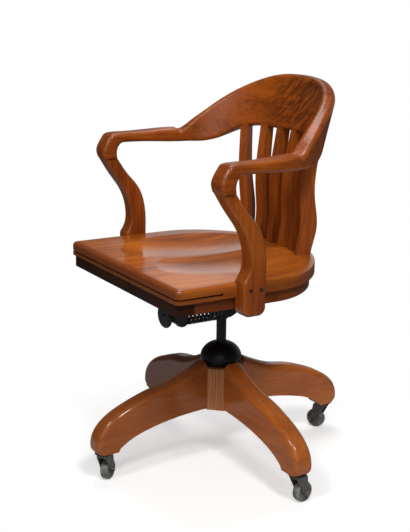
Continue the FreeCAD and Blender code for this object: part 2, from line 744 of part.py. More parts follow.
def seat_blank():
    owner = body("seat_blank")
    half, front, start = mm("seat_half_width"), -mm("seat_front"), -mm("seat_bow_start")
    corner = mm("seat_corner_radius")
    outline = sketch(owner, "XY_Plane", [
        line((-half + corner, front), (half - corner, front)),
        arc(half - corner, front + corner, corner, -90, 0),
        line((half, front + corner), (half, start)),
        curve(both_sides(back_curve(0))),
        line((-half, start), (-half, front + corner)),
        arc(-half + corner, front + corner, corner, 180, 270)],
        offset=mm("seat_underside"))
    board = pad(owner, outline, "sizes.seat_thickness")
    top = mm("seat_top")
    round_edges(owner, board, lambda p, e: abs(p.z - top) < 1e-6, "sizes.seat_rounding")
    kerf_low = mm("seat_underside") + mm("kerf_lip")
    inner, end, beyond = half - mm("kerf_depth"), -mm("kerf_end"), 10
    slot = sketch(owner, "XY_Plane", polygon([
        (-half - beyond, front - beyond), (half + beyond, front - beyond), (half + beyond, end),
        (inner, end), (inner, front + mm("kerf_depth")), (-inner, front + mm("kerf_depth")),
        (-inner, end), (-half - beyond, end)]), offset=kerf_low)
    pocket(owner, slot, "sizes.kerf_height", reverse=True)
    hole_height = kerf_low + mm("kerf_height") / 2
    for side in (1, -1):
        stop_hole = sketch(owner, "YZ_Plane", [circle(end, hole_height, mm("kerf_height") * 0.8)],
                           offset=side * half)
        pocket(owner, stop_hole, "sizes.kerf_depth", reverse=side < 0)
    for side in (1, -1):
        scoop = owner.newObject("PartDesign::SubtractiveEllipsoid", "scoop")
        scoop.AttachmentSupport = [(origin_feature(owner, "XY_Plane"), "")]
        scoop.MapMode = "FlatFace"
        scoop.AttachmentOffset = turned(side * mm("scoop_apart"), -mm("scoop_forward"),
                                        top + mm("scoop_tall") - mm("scoop_depth"))
        scoop.setExpression("Radius1", "sizes.scoop_tall")
        scoop.setExpression("Radius2", "sizes.scoop_wide")
        scoop.setExpression("Radius3", "sizes.scoop_long")
    doc.recompute()
    return owner


def post_inside():
    """Distance from the middle of the chair to an arm post's inner face."""
    return mm("seat_half_width") - mm("rail_inset")


def seat(fitted):
    """The scooped board, notched for the arm posts and cut for what is let into it."""
    tools = list(fitted)
    edge, beyond = post_inside(), 2 * mm("rail_inset")
    front, back = POST_FRONT[-1][0], POST_BACK[0][0]
    for side in (1, -1):
        notch = doc.addObject("Part::Box", "notch")
        notch.Length, notch.Width, notch.Height = beyond, back - front, 2 * mm("seat_thickness")
        notch.Placement = turned(edge if side > 0 else -edge - beyond, front,
                                 mm("seat_underside") - mm("seat_thickness") / 2)
        tools.append(notch)
    return keep(cut("seat", seat_blank(), tools))


def front_rail(screws):
    owner = body("front_rail_blank")
    half, face = post_inside(), -mm("seat_front") + mm("rail_front_inset")
    back = face + mm("front_rail_thickness")
    outline = sketch(owner, "XY_Plane", rectangle(-half, face, half, back),
                     offset=mm("seat_underside"))
    blank = pad(owner, outline, "sizes.rail_height", reverse=True)
    round_edges(owner, blank, lambda p, e: abs(p.y - face) < 1e-6 and abs(abs(p.x) - half) < 1e-6,
                "sizes.rail_rounding")
    return keep(cut("front_rail", owner, [screws]))


def side_rail(screws):
    owner = body("left_rail_blank")
    outer = post_inside()
    start = -mm("seat_front") + mm("rail_front_inset") + mm("front_rail_thickness")
    outline = sketch(owner, "XY_Plane", rectangle(outer - mm("rail_thickness"), start, outer,
                                                  -mm("seat_bow_start")),
                     offset=mm("seat_underside"))
    pad(owner, outline, "sizes.rail_height", reverse=True)
    return keep(cut("left_rail", owner, [screws]))


def back_rail(screws):
    """A curved rail, sawn parallel to the seat's back edge."""
    owner = body("back_rail_blank")
    outer = both_sides(back_curve(mm("rail_inset")))
    inner = both_sides(back_curve(mm("rail_inset") + mm("rail_thickness")))
    outline = sketch(owner, "XY_Plane", [curve(outer), line(outer[-1], inner[-1]),
                                         curve(inner[::-1]), line(inner[0], outer[0])],
                     offset=mm("seat_underside"))
    pad(owner, outline, "sizes.rail_height", reverse=True)
    return keep(cut("back_rail", owner, [screws]))


def rail_screws():
    """Screws that hold the rails to the seat, their heads against the rails' undersides."""
    under = mm("seat_underside") - mm("rail_height")
    side = post_inside() - mm("rail_thickness") / 2
    front = -mm("seat_front") + mm("rail_front_inset") + mm("front_rail_thickness") / 2
    back = mm("seat_back") - mm("rail_inset") - mm("rail_thickness") / 2
    spots = [(share * mm("seat_half_width"), front) for share in (-0.65, 0, 0.65)] + [(0, back)]
    for share in (0.35, 0.87):
        spots += [(s * side, between(front, -mm("seat_bow_start"), share)) for s in (1, -1)]
    length = mm("rail_screw_length")
    return keep(group("rail_screws", [wood_screw(under, length, turned(x, y)) for x, y in spots]))


# Arm posts, arms and crest

# The post's front and back edge: distance from the swivel axis, and the share of the height
# from the seat's top to the seam with the arm
POST_FRONT = [(-163, 1), (-140, 0.793), (-113, 0.569), (-99, 0.299), (-101, 0.14), (-109, 0.05),
              (-112.5, 0)]
POST_BACK = [(-61.5, 0), (-61, 0.12), (-64, 0.368), (-79, 0.609), (-105, 0.787), (-131, 1)]
# The screws through each post, and how high over the seat's underside they are
POST_SCREWS = ((-97, 16), (-74, 15))


def post_edge(shape):
    return [(y, between(mm("seat_top"), mm("seam_height"), share)) for y, share in shape]


def arm_post():
    """An S-shaped post, sawn from a board and rounded, let into the seat's edge."""
    owner = body("post_blank")
    foot, corner = mm("post_foot"), mm("post_corner_radius")
    front, back = post_edge(POST_FRONT), post_edge(POST_BACK)
    front_y, back_y = front[-1][0], back[0][0]
    inside, seam = post_inside(), mm("seam_height")
    rise = seam - mm("seat_top")
    profile = sketch(owner, "YZ_Plane", [
        curve(front, (23, -0.207 * rise), (0, -0.069 * rise)), line(front[-1], (front_y, foot + corner)),
        arc(front_y + corner, foot + corner, corner, 180, 270),
        line((front_y + corner, foot), (back_y - corner, foot)),
        arc(back_y - corner, foot + corner, corner, 270, 360),
        line((back_y, foot + corner), back[0]), curve(back, (0, 0.069 * rise), (-26, 0.213 * rise)),
        line(back[-1], front[0])], offset=inside)
    blank = pad(owner, profile, "sizes.post_thickness")
    outside = inside + mm("post_thickness")
    # A low post bends more sharply, which limits its rounding
    softest = "min(sizes.post_rounding; (sizes.seam_height - sizes.seat_top) / 24)"
    round_edges(owner, blank, lambda p, e: min(abs(p.x - inside), abs(p.x - outside)) < 1e-6
                and abs(p.z - seam) > 1e-3, softest)
    for y, over in POST_SCREWS:
        height = mm("seat_underside") + over
        wide = sketch(owner, "YZ_Plane", [circle(y, height, mm("plug_radius"))], offset=outside)
        pocket(owner, wide, "sizes.plug_length + sizes.post_screw_head + sizes.side_play")
        narrow = sketch(owner, "YZ_Plane", [circle(y, height, mm("screw_radius"))], offset=outside)
        pocket(owner, narrow, "sizes.post_thickness")
    return keep(cut("left_arm_post", owner, [post_dowel("peg_hole")]))


def bow_point(angle):
    """The bow's middle line in plan: 0 at the arm's straight part, 90 at the back."""
    half, start, power = mm("bow_half_width"), -mm("bow_start"), mm("bow_roundness")
    deep = mm("bow_back") - start
    turn = math.radians(angle)
    sideways, back = abs(math.cos(turn)), abs(math.sin(turn))
    x = half * sideways ** (2 / power) * (1 if angle <= 90 else -1)
    y = start + deep * back ** (2 / power)
    out = V(math.copysign((abs(x) / half) ** (power - 1) / half, x),
            ((y - start) / deep) ** (power - 1) / deep, 0)
    return V(x, y, 0), out.normalize()


CREST_START, CREST_END = 26, 86
JOINT_ANGLE = 22


def bow_section(angle):
    """A rounded section of the bow at a plan angle, as a sketch of its own."""
    point, out = bow_point(angle)
    turn = min(angle, 180 - angle)
    climb = min(max((turn - CREST_START) / (CREST_END - CREST_START), 0), 1)
    flat = ease(turn, 0, JOINT_ANGLE)
    top = between(mm("arm_front_top"), mm("arm_top"), flat)
    bottom = top - between(mm("arm_front_height"), mm("arm_height"), flat)
    top += mm("crest_rise") * (1 - (1 - climb) ** 1.7)
    bottom += mm("crest_arch") * ease(turn, 36, 68)
    width = between(mm("arm_width"), mm("crest_thickness"), ease(turn, 8, 48))
    lean = math.radians(mm("crest_lean") * ease(turn, 20, 66))
    up = out * math.sin(lean) + Z_AXIS * math.cos(lean)
    side = out * math.cos(lean) - Z_AXIS * math.sin(lean)
    foot = point + out * ((bottom - mm("arm_top")) * math.tan(lean)) + Z_AXIS * bottom
    tall = (top - bottom) / math.cos(lean)
    corner = between(mm("arm_rounding"), mm("crest_thickness") * 0.36, ease(turn, 8, 48))
    lower = between(mm("arm_rounding"), mm("crest_lower_rounding"), ease(turn, 30, 60))
    made = doc.addObject("Sketcher::SketchObject", "bow_section")
    half, low_half = width / 2 - corner, width / 2 - lower
    corners = [arc(low_half, lower, lower, -90, 0), arc(half, tall - corner, corner, 0, 90),
               arc(-half, tall - corner, corner, 90, 180), arc(-low_half, lower, lower, 180, 270)]
    edges = []
    for this, following in zip(corners, corners[1:] + corners[:1]):
        edges += [this, Part.LineSegment(this.EndPoint, following.StartPoint)]
    made.addGeometry(edges, False)
    made.Placement = FreeCAD.Placement(foot, FreeCAD.Rotation(side, up, V(0, 0, 0), "XYZ"))
    return made


def bow_loft(name, angles):
    made = doc.addObject("Part::Loft", name)
    made.Sections = [bow_section(angle) for angle in angles]
    made.Solid = True
    made.Ruled = False
    return made


def bow_dowel(angle, name):
    """A dowel along the bow, through the joint at a plan angle."""
    point, out = bow_point(angle)
    way = V(-out.y, out.x, 0)
    middle = point + Z_AXIS * (mm("arm_top") - mm("arm_height") / 2)
    place = FreeCAD.Placement(middle - way * mm("peg_length") / 2, FreeCAD.Rotation(Z_AXIS, way))
    return rod("sizes.peg_radius", "sizes.peg_length", place, name)


def post_dowel(name):
    """A dowel through the seam of post and arm, along the post's slanting upper end."""
    front, back = post_edge(POST_FRONT), post_edge(POST_BACK)
    way = V(0, (front[0][0] - front[1][0] + back[-1][0] - back[-2][0]) / 2,
            front[0][1] - front[1][1]).normalize()
    middle = V(mm("bow_half_width"), (front[0][0] + back[-1][0]) / 2, mm("seam_height"))
    place = FreeCAD.Placement(middle - way * mm("post_peg_length") / 2, FreeCAD.Rotation(Z_AXIS, way))
    return rod("sizes.peg_radius", "sizes.post_peg_length", place, name)


# The arm's nose, as distance behind its front and share of the height from the seam to the
# top, and the hollow behind the post, as distance in front of the knuckle's end and share
# of the height from the seam to the arm's underside
KNUCKLE_NOSE = ((0, 0.32), (14, 0.83))
KNUCKLE_HOLLOW = ((4, 1), (17, 0.8))


def arm():
    """The arm runs from the knuckle over the post back to the joint with the crest."""
    knuckle = body("knuckle")
    top, under = mm("arm_front_top"), mm("arm_front_top") - mm("arm_front_height")
    seam, nose, start = mm("seam_height"), -mm("arm_front"), -mm("bow_start")
    front_y, back_y = POST_FRONT[0][0], POST_BACK[-1][0]
    front = [(front_y, seam)]
    front += [(nose + behind, between(seam, top, share)) for behind, share in KNUCKLE_NOSE]
    front += [(start - KNUCKLE_NOSE[1][0], top)]
    hollow = [(start - ahead, between(seam, under, share)) for ahead, share in KNUCKLE_HOLLOW]
    hollow += [(back_y, seam)]
    profile = sketch(knuckle, "YZ_Plane", [
        curve(front, (-6, 16), (40, 1)), line(front[-1], (start, top)),
        line((start, top), (start, under)), line((start, under), hollow[0]),
        curve(hollow, (-20, 0), (6, -30)), line(hollow[-1], front[0])],
        offset=mm("bow_half_width"))
    blank = pad(knuckle, profile, "sizes.arm_width", side="Symmetric")
    half = mm("arm_width") / 2
    round_edges(knuckle, blank, lambda p, e: abs(abs(p.x - mm("bow_half_width")) - half) < 1e-6
                and abs(p.z - seam) > 1e-3 and abs(p.y - start) > 1e-3, "sizes.arm_rounding")
    whole = doc.addObject("Part::Fuse", "arm_blank")
    whole.Base = knuckle
    whole.Tool = bow_loft("arm_back", (0, 5, 10, 16, JOINT_ANGLE))
    holes = [bow_dowel(JOINT_ANGLE, "peg_hole"), post_dowel("peg_hole")]
    return keep(cut("left_arm", whole, holes))


def crest_rail(slats):
    """The tall back of the bow, with a mortise for each slat."""
    half = (JOINT_ANGLE, 26, 30, 36, 44, 54, 65, 77)
    blank = bow_loft("crest_blank", half + (90,) + tuple(180 - angle for angle in half[::-1]))
    holes = [bow_dowel(angle, "peg_hole") for angle in (JOINT_ANGLE, 180 - JOINT_ANGLE)]
    return keep(cut("crest_rail", blank, list(slats) + holes))


def arm_dowels():
    """Dowels between each post, arm and the crest."""
    pegs = [bow_dowel(angle, "peg") for angle in (JOINT_ANGLE, 180 - JOINT_ANGLE)]
    upright = post_dowel("peg")
    return keep(group("arm_dowels", pegs + [upright, mirrored("peg_right", upright)]))


def post_fasteners():
    """The screws that hold each post to the seat, and the wooden plugs over them."""
    outside = post_inside() + mm("post_thickness")
    screws, plugs = [], []
    for side in (1, -1):
        for y, rise in POST_SCREWS:
            face = turned(side * outside, y, mm("seat_underside") + rise, -90 * side, V(0, 1, 0))
            plugs.append(rod("sizes.plug_radius", "sizes.plug_length", face, "plug"))
            under_head = mm("plug_length") + mm("post_screw_head") + mm("side_play")
            inward = face * turned(0, 0, under_head)
            screws.append(post_screw(inward))
    keep(group("post_plugs", plugs))
    return keep(group("post_screws", screws))


def post_screw(place):
    """A screw with its head below the place's origin and its shank along Z."""
    shank, head, tall = mm("screw_radius"), mm("plug_radius"), mm("post_screw_head")
    length = mm("post_screw_length")
    return turning("screw", [(0, -tall), (head, -tall), (head, 0), (shank, 0),
                             (shank, length - mm("screw_point")), (0, length)], place)


# Back slats

# The slat's front and back edge: distance outwards from the bow's middle line, and share of
# the height from the seat's top to the slat's head
SLAT_FACE = [(-33, 0), (-31, 0.104), (-26, 0.239), (-27, 0.371), (-28, 0.478), (-26, 0.629),
             (-19, 0.793), (-9, 1)]
SLAT_BACK = [(-3, 0), (2, 0.104), (8, 0.239), (6, 0.371), (2, 0.478), (1, 0.629), (5, 0.793),
             (12, 1)]


def slat(index):
    """An S-shaped slat, in an upright plane square to the bow and splayed towards its head."""
    offset = index - (SLAT_COUNT + 1) / 2
    seat_top = mm("seat_top")
    head, out = bow_point_at(offset * mm("slat_spacing"))
    along = V(out.y, -out.x, 0)
    shift = offset * (mm("slat_spacing") - mm("slat_foot_spacing")) / along.x
    foot = head - along * shift + Z_AXIS * seat_top
    facing = math.degrees(math.atan2(out.y, out.x))
    splay = math.degrees(math.atan2(shift, mm("arm_top") - seat_top))
    place = FreeCAD.Placement(foot, FreeCAD.Rotation(Z_AXIS, facing)
                              * FreeCAD.Rotation(V(1, 0, 0), splay))
    owner = body(f"slat_{index}", place)
    crest_low = mm("arm_top") - mm("arm_height") + mm("crest_arch")
    tall = crest_low + mm("slat_tenon") - seat_top
    face = [(outward, share * tall) for outward, share in SLAT_FACE]
    back = [(outward, share * tall) for outward, share in SLAT_BACK]
    face_low, back_low = (face[0][0], -mm("slat_tenon")), (back[0][0], -mm("slat_tenon"))
    outline = [curve(face), line(face[-1], back[-1]), curve(back[::-1]),
               line(back[0], back_low), line(back_low, face_low), line(face_low, face[0])]
    pad(owner, sketch(owner, "XZ_Plane", outline), "sizes.slat_thickness", side="Symmetric")
    return keep(owner)


def bow_point_at(x):
    """The point of the bow's middle line, and its outward way, at a distance from the middle."""
    share = (abs(x) / mm("bow_half_width")) ** (mm("bow_roundness") / 2)
    angle = math.degrees(math.acos(share))
    return bow_point(angle if x >= 0 else 180 - angle)


# Casters

def at_kingpin(direction, trail):
    """The frame of one caster: Z on its stem, X the way that it trails."""
    foot = on_base(turned(angle=direction)) * turned(mm("kingpin_radius"))
    return foot * turned(angle=trail - direction - mm("base_turn"))


def caster_sockets():
    """A flanged tube in each foot takes a caster's stem."""
    foot, thick = mm("foot_height"), mm("caster_plate_thickness")
    bore = mm("stem_radius") + mm("running_clearance")
    outline = [(mm("caster_plate_radius"), foot - thick), (mm("caster_plate_radius"), foot),
               (mm("stem_socket_radius"), foot), (mm("stem_socket_radius"), foot + mm("stem_length"))]
    tubes = [turning("socket", outline, at_kingpin(direction, trail), bore=bore)
             for _, direction, trail in LEGS]
    return keep(group("caster_sockets", tubes))


def caster_fork(side, place):
    """A horn of two plates under a round crown, on a stem."""
    owner = body(side + "_caster_fork", place)
    crown_top = mm("foot_height") - mm("caster_plate_thickness") - mm("seating_gap")
    crown_low = crown_top - mm("crown_thickness")
    trail, axle = mm("caster_trail"), mm("wheel_radius")
    inner = mm("wheel_width") / 2 + mm("wheel_side_gap")
    outer = inner + mm("fork_plate_thickness")
    eye = mm("axle_radius") + mm("fork_eye_width")
    heel, toe = -mm("fork_heel"), trail + mm("fork_toe")
    crown = sketch(owner, "XY_Plane", [circle(0, 0, mm("crown_radius"))], offset=crown_low)
    pad(owner, crown, "sizes.crown_thickness")
    roof = sketch(owner, "XY_Plane", rectangle(heel, -outer, toe, outer), offset=crown_low)
    pad(owner, roof, "sizes.fork_plate_thickness", reverse=True)
    low = crown_low - mm("fork_plate_thickness") + 0.1
    for sign in (1, -1):
        plate = sketch(owner, "XZ_Plane", [
            line((heel, low), (trail - eye * 0.8, axle - eye * 0.6)),
            Part.Arc(V(trail - eye * 0.8, axle - eye * 0.6, 0), V(trail, axle - eye, 0),
                     V(trail + eye, axle, 0)),
            line((trail + eye, axle), (toe, low)),
            line((toe, low), (heel, low))], offset=sign * inner)
        pad(owner, plate, "sizes.fork_plate_thickness", reverse=sign < 0)
    stem = sketch(owner, "XY_Plane", [circle(0, 0, mm("stem_radius"))], offset=crown_top)
    pad(owner, stem, "sizes.stem_length")
    bore = sketch(owner, "XZ_Plane", [circle(trail, axle, mm("axle_radius"))])
    pocket(owner, bore, "2 * sizes.wheel_width", side="Symmetric")
    return keep(owner)


def across_fork(place):
    """A placement at the wheel's centre with Z along the axle."""
    return place * turned(mm("caster_trail"), 0, mm("wheel_radius"), 90, V(1, 0, 0))


def caster_wheel(side, place):
    """A solid wheel: rounded tread, dished faces and a raised hub."""
    half, radius, soft = mm("wheel_width") / 2, mm("wheel_radius"), mm("wheel_rounding")
    bore = mm("axle_radius") + mm("running_clearance")
    owner = body(side + "_caster_wheel", across_fork(place))
    hub, dish, rim = mm("wheel_hub_radius"), mm("wheel_dish"), radius - mm("wheel_rim")
    low, face = half - dish, half - soft
    profile = sketch(owner, "XZ_Plane", [
        line((bore, -half), (hub, -half)), line((hub, -half), (hub + 1, -low)),
        line((hub + 1, -low), (rim - 1, -low)), line((rim - 1, -low), (rim, -half)),
        line((rim, -half), (radius - soft, -half)), arc(radius - soft, -face, soft, -90, 0),
        line((radius, -face), (radius, face)), arc(radius - soft, face, soft, 0, 90),
        line((radius - soft, half), (rim, half)), line((rim, half), (rim - 1, low)),
        line((rim - 1, low), (hub + 1, low)), line((hub + 1, low), (hub, half)),
        line((hub, half), (bore, half)), line((bore, half), (bore, -half))])
    revolve(owner, profile)
    return keep(owner)


def caster_axle(side, place):
    shaft = mm("axle_radius")
    reach = mm("wheel_width") / 2 + mm("wheel_side_gap") + mm("fork_plate_thickness")
    head, end = mm("axle_head_radius"), reach + mm("axle_head_length")
    return keep(turning(side + "_caster_axle", [
        (0, -end), (head - 0.6, -end), (head, -reach), (shaft, -reach),
        (shaft, reach), (head, reach), (head - 0.6, end), (0, end)], across_fork(place)))


def build():
    hub_post()
    for side, direction, trail in LEGS:
        leg(side, direction)
        place = at_kingpin(direction, trail)
        caster_fork(side, place)
        caster_wheel(side, place)
        caster_axle(side, place)
    leg_dowels()
    caster_sockets()
    hub_socket()
    hub_nut()
    spindle()
    spindle_sleeve()
    yoke()
    tilt_pin()
    tension_bolt()
    tension_spring()
    spring_cup()
    tension_knob()
    seat_iron()
    under_iron, under_rails, through_posts = iron_screws(), rail_screws(), post_fasteners()
    slats = [slat(index) for index in range(1, SLAT_COUNT + 1)]
    seat(slats + [under_iron, under_rails, through_posts])
    front_rail(under_rails)
    keep(mirrored("right_rail", side_rail(under_rails)))
    back_rail(under_rails)
    post = arm_post()
    keep(mirrored("right_arm_post", post))
    keep(mirrored("right_arm", arm()))
    crest_rail(slats)
    arm_dowels()


def check_and_write():
    """Stop on any failed object or shape, then write each sub-part."""
    doc.recompute()
    failed = [o.Name for o in doc.Objects if {"Invalid", "Error"} & set(o.State)]
    if failed:
        raise SystemExit(f"failed objects: {failed}")
    for made in parts:
        if made.Shape.isNull() or not made.Shape.isValid():
            raise SystemExit(f"{made.Label} has no valid shape")
    os.makedirs("parts", exist_ok=True)
    for made in parts:
        made.Shape.exportStep(f"parts/{made.Label}.step")
        print(f"{made.Label}: {made.Shape.Volume / 1000:.1f} cm3")


build()
check_and_write()
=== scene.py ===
"""Bankers swivel chair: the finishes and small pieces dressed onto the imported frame.

The chair faces -Y and stands on the floor at z = 0, with its swivel axis through the origin.
Everything is in metres.
"""

import logging
import math
from dataclasses import dataclass, field
from enum import Enum
from typing import Any, Iterable, Sequence, Union

import bpy
from mathutils import Matrix, Vector


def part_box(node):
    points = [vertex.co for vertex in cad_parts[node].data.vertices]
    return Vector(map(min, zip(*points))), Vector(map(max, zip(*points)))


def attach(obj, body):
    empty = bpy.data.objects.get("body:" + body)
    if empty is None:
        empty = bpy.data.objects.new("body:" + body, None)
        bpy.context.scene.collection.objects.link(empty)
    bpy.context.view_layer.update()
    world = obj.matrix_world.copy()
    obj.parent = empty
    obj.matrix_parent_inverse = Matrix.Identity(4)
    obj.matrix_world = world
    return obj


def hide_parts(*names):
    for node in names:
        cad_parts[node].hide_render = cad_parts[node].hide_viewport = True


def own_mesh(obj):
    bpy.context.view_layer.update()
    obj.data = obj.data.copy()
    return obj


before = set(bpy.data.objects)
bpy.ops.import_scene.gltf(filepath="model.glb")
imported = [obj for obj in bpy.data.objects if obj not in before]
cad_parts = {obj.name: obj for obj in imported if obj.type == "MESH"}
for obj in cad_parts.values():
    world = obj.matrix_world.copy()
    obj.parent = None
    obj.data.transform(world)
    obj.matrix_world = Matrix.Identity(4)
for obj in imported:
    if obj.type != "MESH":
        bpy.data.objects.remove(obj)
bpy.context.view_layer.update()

log = logging.getLogger("bankers_chair")

Colour = tuple[float, float, float]
Place = tuple[float, float, float]
Number = Union[float, "Wire"]

WHITE: Colour = (1.0, 1.0, 1.0)
UNSTRETCHED: Place = (1.0, 1.0, 1.0)


class Grain(Enum):
    """Which way the grain of a wooden piece runs, as the turn that lays it along X."""

    ACROSS = (0.0, 0.0, 0.0)
    FORE_AND_AFT = (0.0, 0.0, -math.pi / 2)
    UPRIGHT = (0.0, math.pi / 2, 0.0)


# node trees


class Wire:
    """One output socket that carries a value, and that can be used in sums, products and powers."""

    def __init__(self, nodes: "Nodes", socket: bpy.types.NodeSocket) -> None:
        """Takes hold of a socket.

        Args:
            nodes: the nodes that the socket is among.
            socket: the output socket.
        """
        self.nodes = nodes
        self.socket = socket

    def _math(self, operation: str, first: Number, second: Number) -> "Wire":
        """Adds one Math node.

        Args:
            operation: the Math node's operation.
            first: its first value or link.
            second: its second value or link.

        Returns:
            The node's result.
        """
        return self.nodes.node("ShaderNodeMath", {"operation": operation}, {0: first, 1: second}).out()

    def __add__(self, other: Number) -> "Wire":
        """The sum."""
        return self._math("ADD", self, other)

    def __radd__(self, other: Number) -> "Wire":
        """The sum, with the number first."""
        return self._math("ADD", other, self)

    def __sub__(self, other: Number) -> "Wire":
        """The difference."""
        return self._math("SUBTRACT", self, other)

    def __rsub__(self, other: Number) -> "Wire":
        """The difference, with the number first."""
        return self._math("SUBTRACT", other, self)

    def __mul__(self, other: Number) -> "Wire":
        """The product."""
        return self._math("MULTIPLY", self, other)

    def __rmul__(self, other: Number) -> "Wire":
        """The product, with the number first."""
        return self._math("MULTIPLY", other, self)

    def __truediv__(self, other: Number) -> "Wire":
        """The quotient."""
        return self._math("DIVIDE", self, other)

    def __rtruediv__(self, other: Number) -> "Wire":
        """The quotient, with the number first."""
        return self._math("DIVIDE", other, self)

    def __pow__(self, other: Number) -> "Wire":
        """The power."""
        return self._math("POWER", self, other)

    def __rpow__(self, other: Number) -> "Wire":
        """The power, with the number first."""
        return self._math("POWER", other, self)

    def above_whole(self) -> "Wire":
        """What is left of the value above its whole number."""
        return self._math("FRACT", self, 0.0)

    def between(self, low: float, high: float) -> "Wire":
        """Eases the value from 0 at low to 1 at high.

        Args:
            low: the value that gives 0.
            high: the value that gives 1.

        Returns:
            The eased value.
        """
        return self.nodes.node("ShaderNodeMapRange", {"interpolation_type": "SMOOTHSTEP"},
                               {"Value": self, "From Min": low, "From Max": high}).out()


class Made:
    """A node that was just made, and its outputs."""

    def __init__(self, nodes: "Nodes", made: bpy.types.Node) -> None:
        """Takes hold of a node.

        Args:
            nodes: the nodes that it is among.
            made: the node.
        """
        self.nodes = nodes
        self.made = made

    def out(self, name: Union[str, int] = 0) -> Wire:
        """The output of that name or place."""
        return Wire(self.nodes, self.made.outputs[name])


class Nodes:
    """The nodes of one tree, and the one method that adds them."""

    def __init__(self, tree: bpy.types.NodeTree) -> None:
        """Starts on a tree.

        Args:
            tree: the tree that the nodes go into.
        """
        self.tree = tree

    def node(self, kind: str, settings: dict[str, Any] | None = None,
             values: dict[Any, Any] | None = None) -> Made:
        """Adds a node, sets it up and wires it.

        Args:
            kind: the node's type.
            settings: the node's own settings, set before its sockets. A colour ramp takes its
                stops as a list of (place, colour) under the name "stops".
            values: numbers, colours, vectors or wires for its input sockets, by name or place.

        Returns:
            The new node.
        """
        made = self.tree.nodes.new(kind)
        for name, setting in (settings or {}).items():
            if name == "stops":
                self._set_stops(made, setting)
            else:
                setattr(made, name, setting)
        for name, value in (values or {}).items():
            socket = made.inputs[name]
            if isinstance(value, Wire):
                self.tree.links.new(value.socket, socket)
            elif isinstance(value, tuple) and socket.type == "RGBA":
                socket.default_value = (*value, 1.0)
            else:
                socket.default_value = value
        return Made(self, made)

    @staticmethod
    def _set_stops(ramp: bpy.types.Node, stops: Sequence[tuple[float, Colour]]) -> None:
        """Gives a colour ramp its stops.

        Args:
            ramp: the Color Ramp node.
            stops: the place and the colour of each stop.
        """
        elements = ramp.color_ramp.elements
        while len(elements) < len(stops):
            elements.new(0.5)
        for element, (place, colour) in zip(elements, stops):
            element.position = place
            element.color = (*colour, 1.0)


class Board(Nodes):
    """The nodes of one material or world, with its surface output."""

    def __init__(self, tree: bpy.types.NodeTree, output: str) -> None:
        """Empties the tree and gives it its output.

        Args:
            tree: the node tree, which is emptied.
            output: the type of its output node.
        """
        tree.nodes.clear()
        super().__init__(tree)
        self.output = tree.nodes.new(output)

    def mix(self, amount: Number, first: Any, second: Any) -> Wire:
        """Mixes two colours.

        Args:
            amount: how much of the second colour shows.
            first: the first colour or wire.
            second: the second colour or wire.

        Returns:
            The mixed colour.
        """
        factor, one, other, result = 0, 6, 7, 2
        return self.node("ShaderNodeMix", {"data_type": "RGBA"},
                         {factor: amount, one: first, other: second}).out(result)

    def object_place(self, scale: Place = UNSTRETCHED, turn: Place = (0.0, 0.0, 0.0),
                     shift: Place = (0.0, 0.0, 0.0)) -> Wire:
        """The object coordinates, turned, moved and then stretched.

        Args:
            scale: the stretch along each turned axis.
            turn: the turn about each axis, in radians.
            shift: the move along each axis, in metres.

        Returns:
            The coordinates.
        """
        place = self.node("ShaderNodeTexCoord").out("Object")
        turned = self.node("ShaderNodeMapping", {"vector_type": "POINT"},
                           {"Vector": place, "Location": shift, "Rotation": turn}).out()
        return self.node("ShaderNodeVectorMath", {"operation": "MULTIPLY"}, {0: turned, 1: scale}).out()

    def split(self, place: Wire) -> Made:
        """The three axes of some coordinates, as the outputs X, Y and Z."""
        return self.node("ShaderNodeSeparateXYZ", None, {0: place})

    def noise(self, place: Wire, scale: float, detail: float = 3.0, roughness: float = 0.5,
              distortion: float = 0.0) -> Wire:
        """A noise pattern from 0 to 1.

        Args:
            place: the coordinates it reads.
            scale: how fine it is.
            detail: how many finer layers it has.
            roughness: how strong the finer layers are.
            distortion: how much it is stirred.

        Returns:
            The noise.
        """
        return self.node("ShaderNodeTexNoise", {"noise_dimensions": "3D"},
                         {"Vector": place, "Scale": scale, "Detail": detail, "Roughness": roughness,
                          "Distortion": distortion}).out("Fac")

    def bump(self, height: Wire, distance: float) -> Wire:
        """A bump from a height pattern.

        Args:
            height: the pattern.
            distance: how high a value of 1 stands, in metres.

        Returns:
            The bumped normal.
        """
        return self.node("ShaderNodeBump", None,
                         {"Height": height, "Distance": distance, "Strength": 1.0}).out()

    def principled(self, values: dict[str, Any]) -> Wire:
        """A Principled shader with these values on its sockets."""
        return self.node("ShaderNodeBsdfPrincipled", None, values).out()

    def end(self, shader: Wire) -> None:
        """Ends the board in this shader."""
        self.tree.links.new(shader.socket, self.output.inputs["Surface"])


def new_material(name: str) -> tuple[bpy.types.Material, Board]:
    """Makes an empty material and its board.

    Args:
        name: the material's name.

    Returns:
        The material and the board that its nodes go on.
    """
    material = bpy.data.materials.new(name)
    material.use_nodes = True
    return material, Board(material.node_tree, "ShaderNodeOutputMaterial")


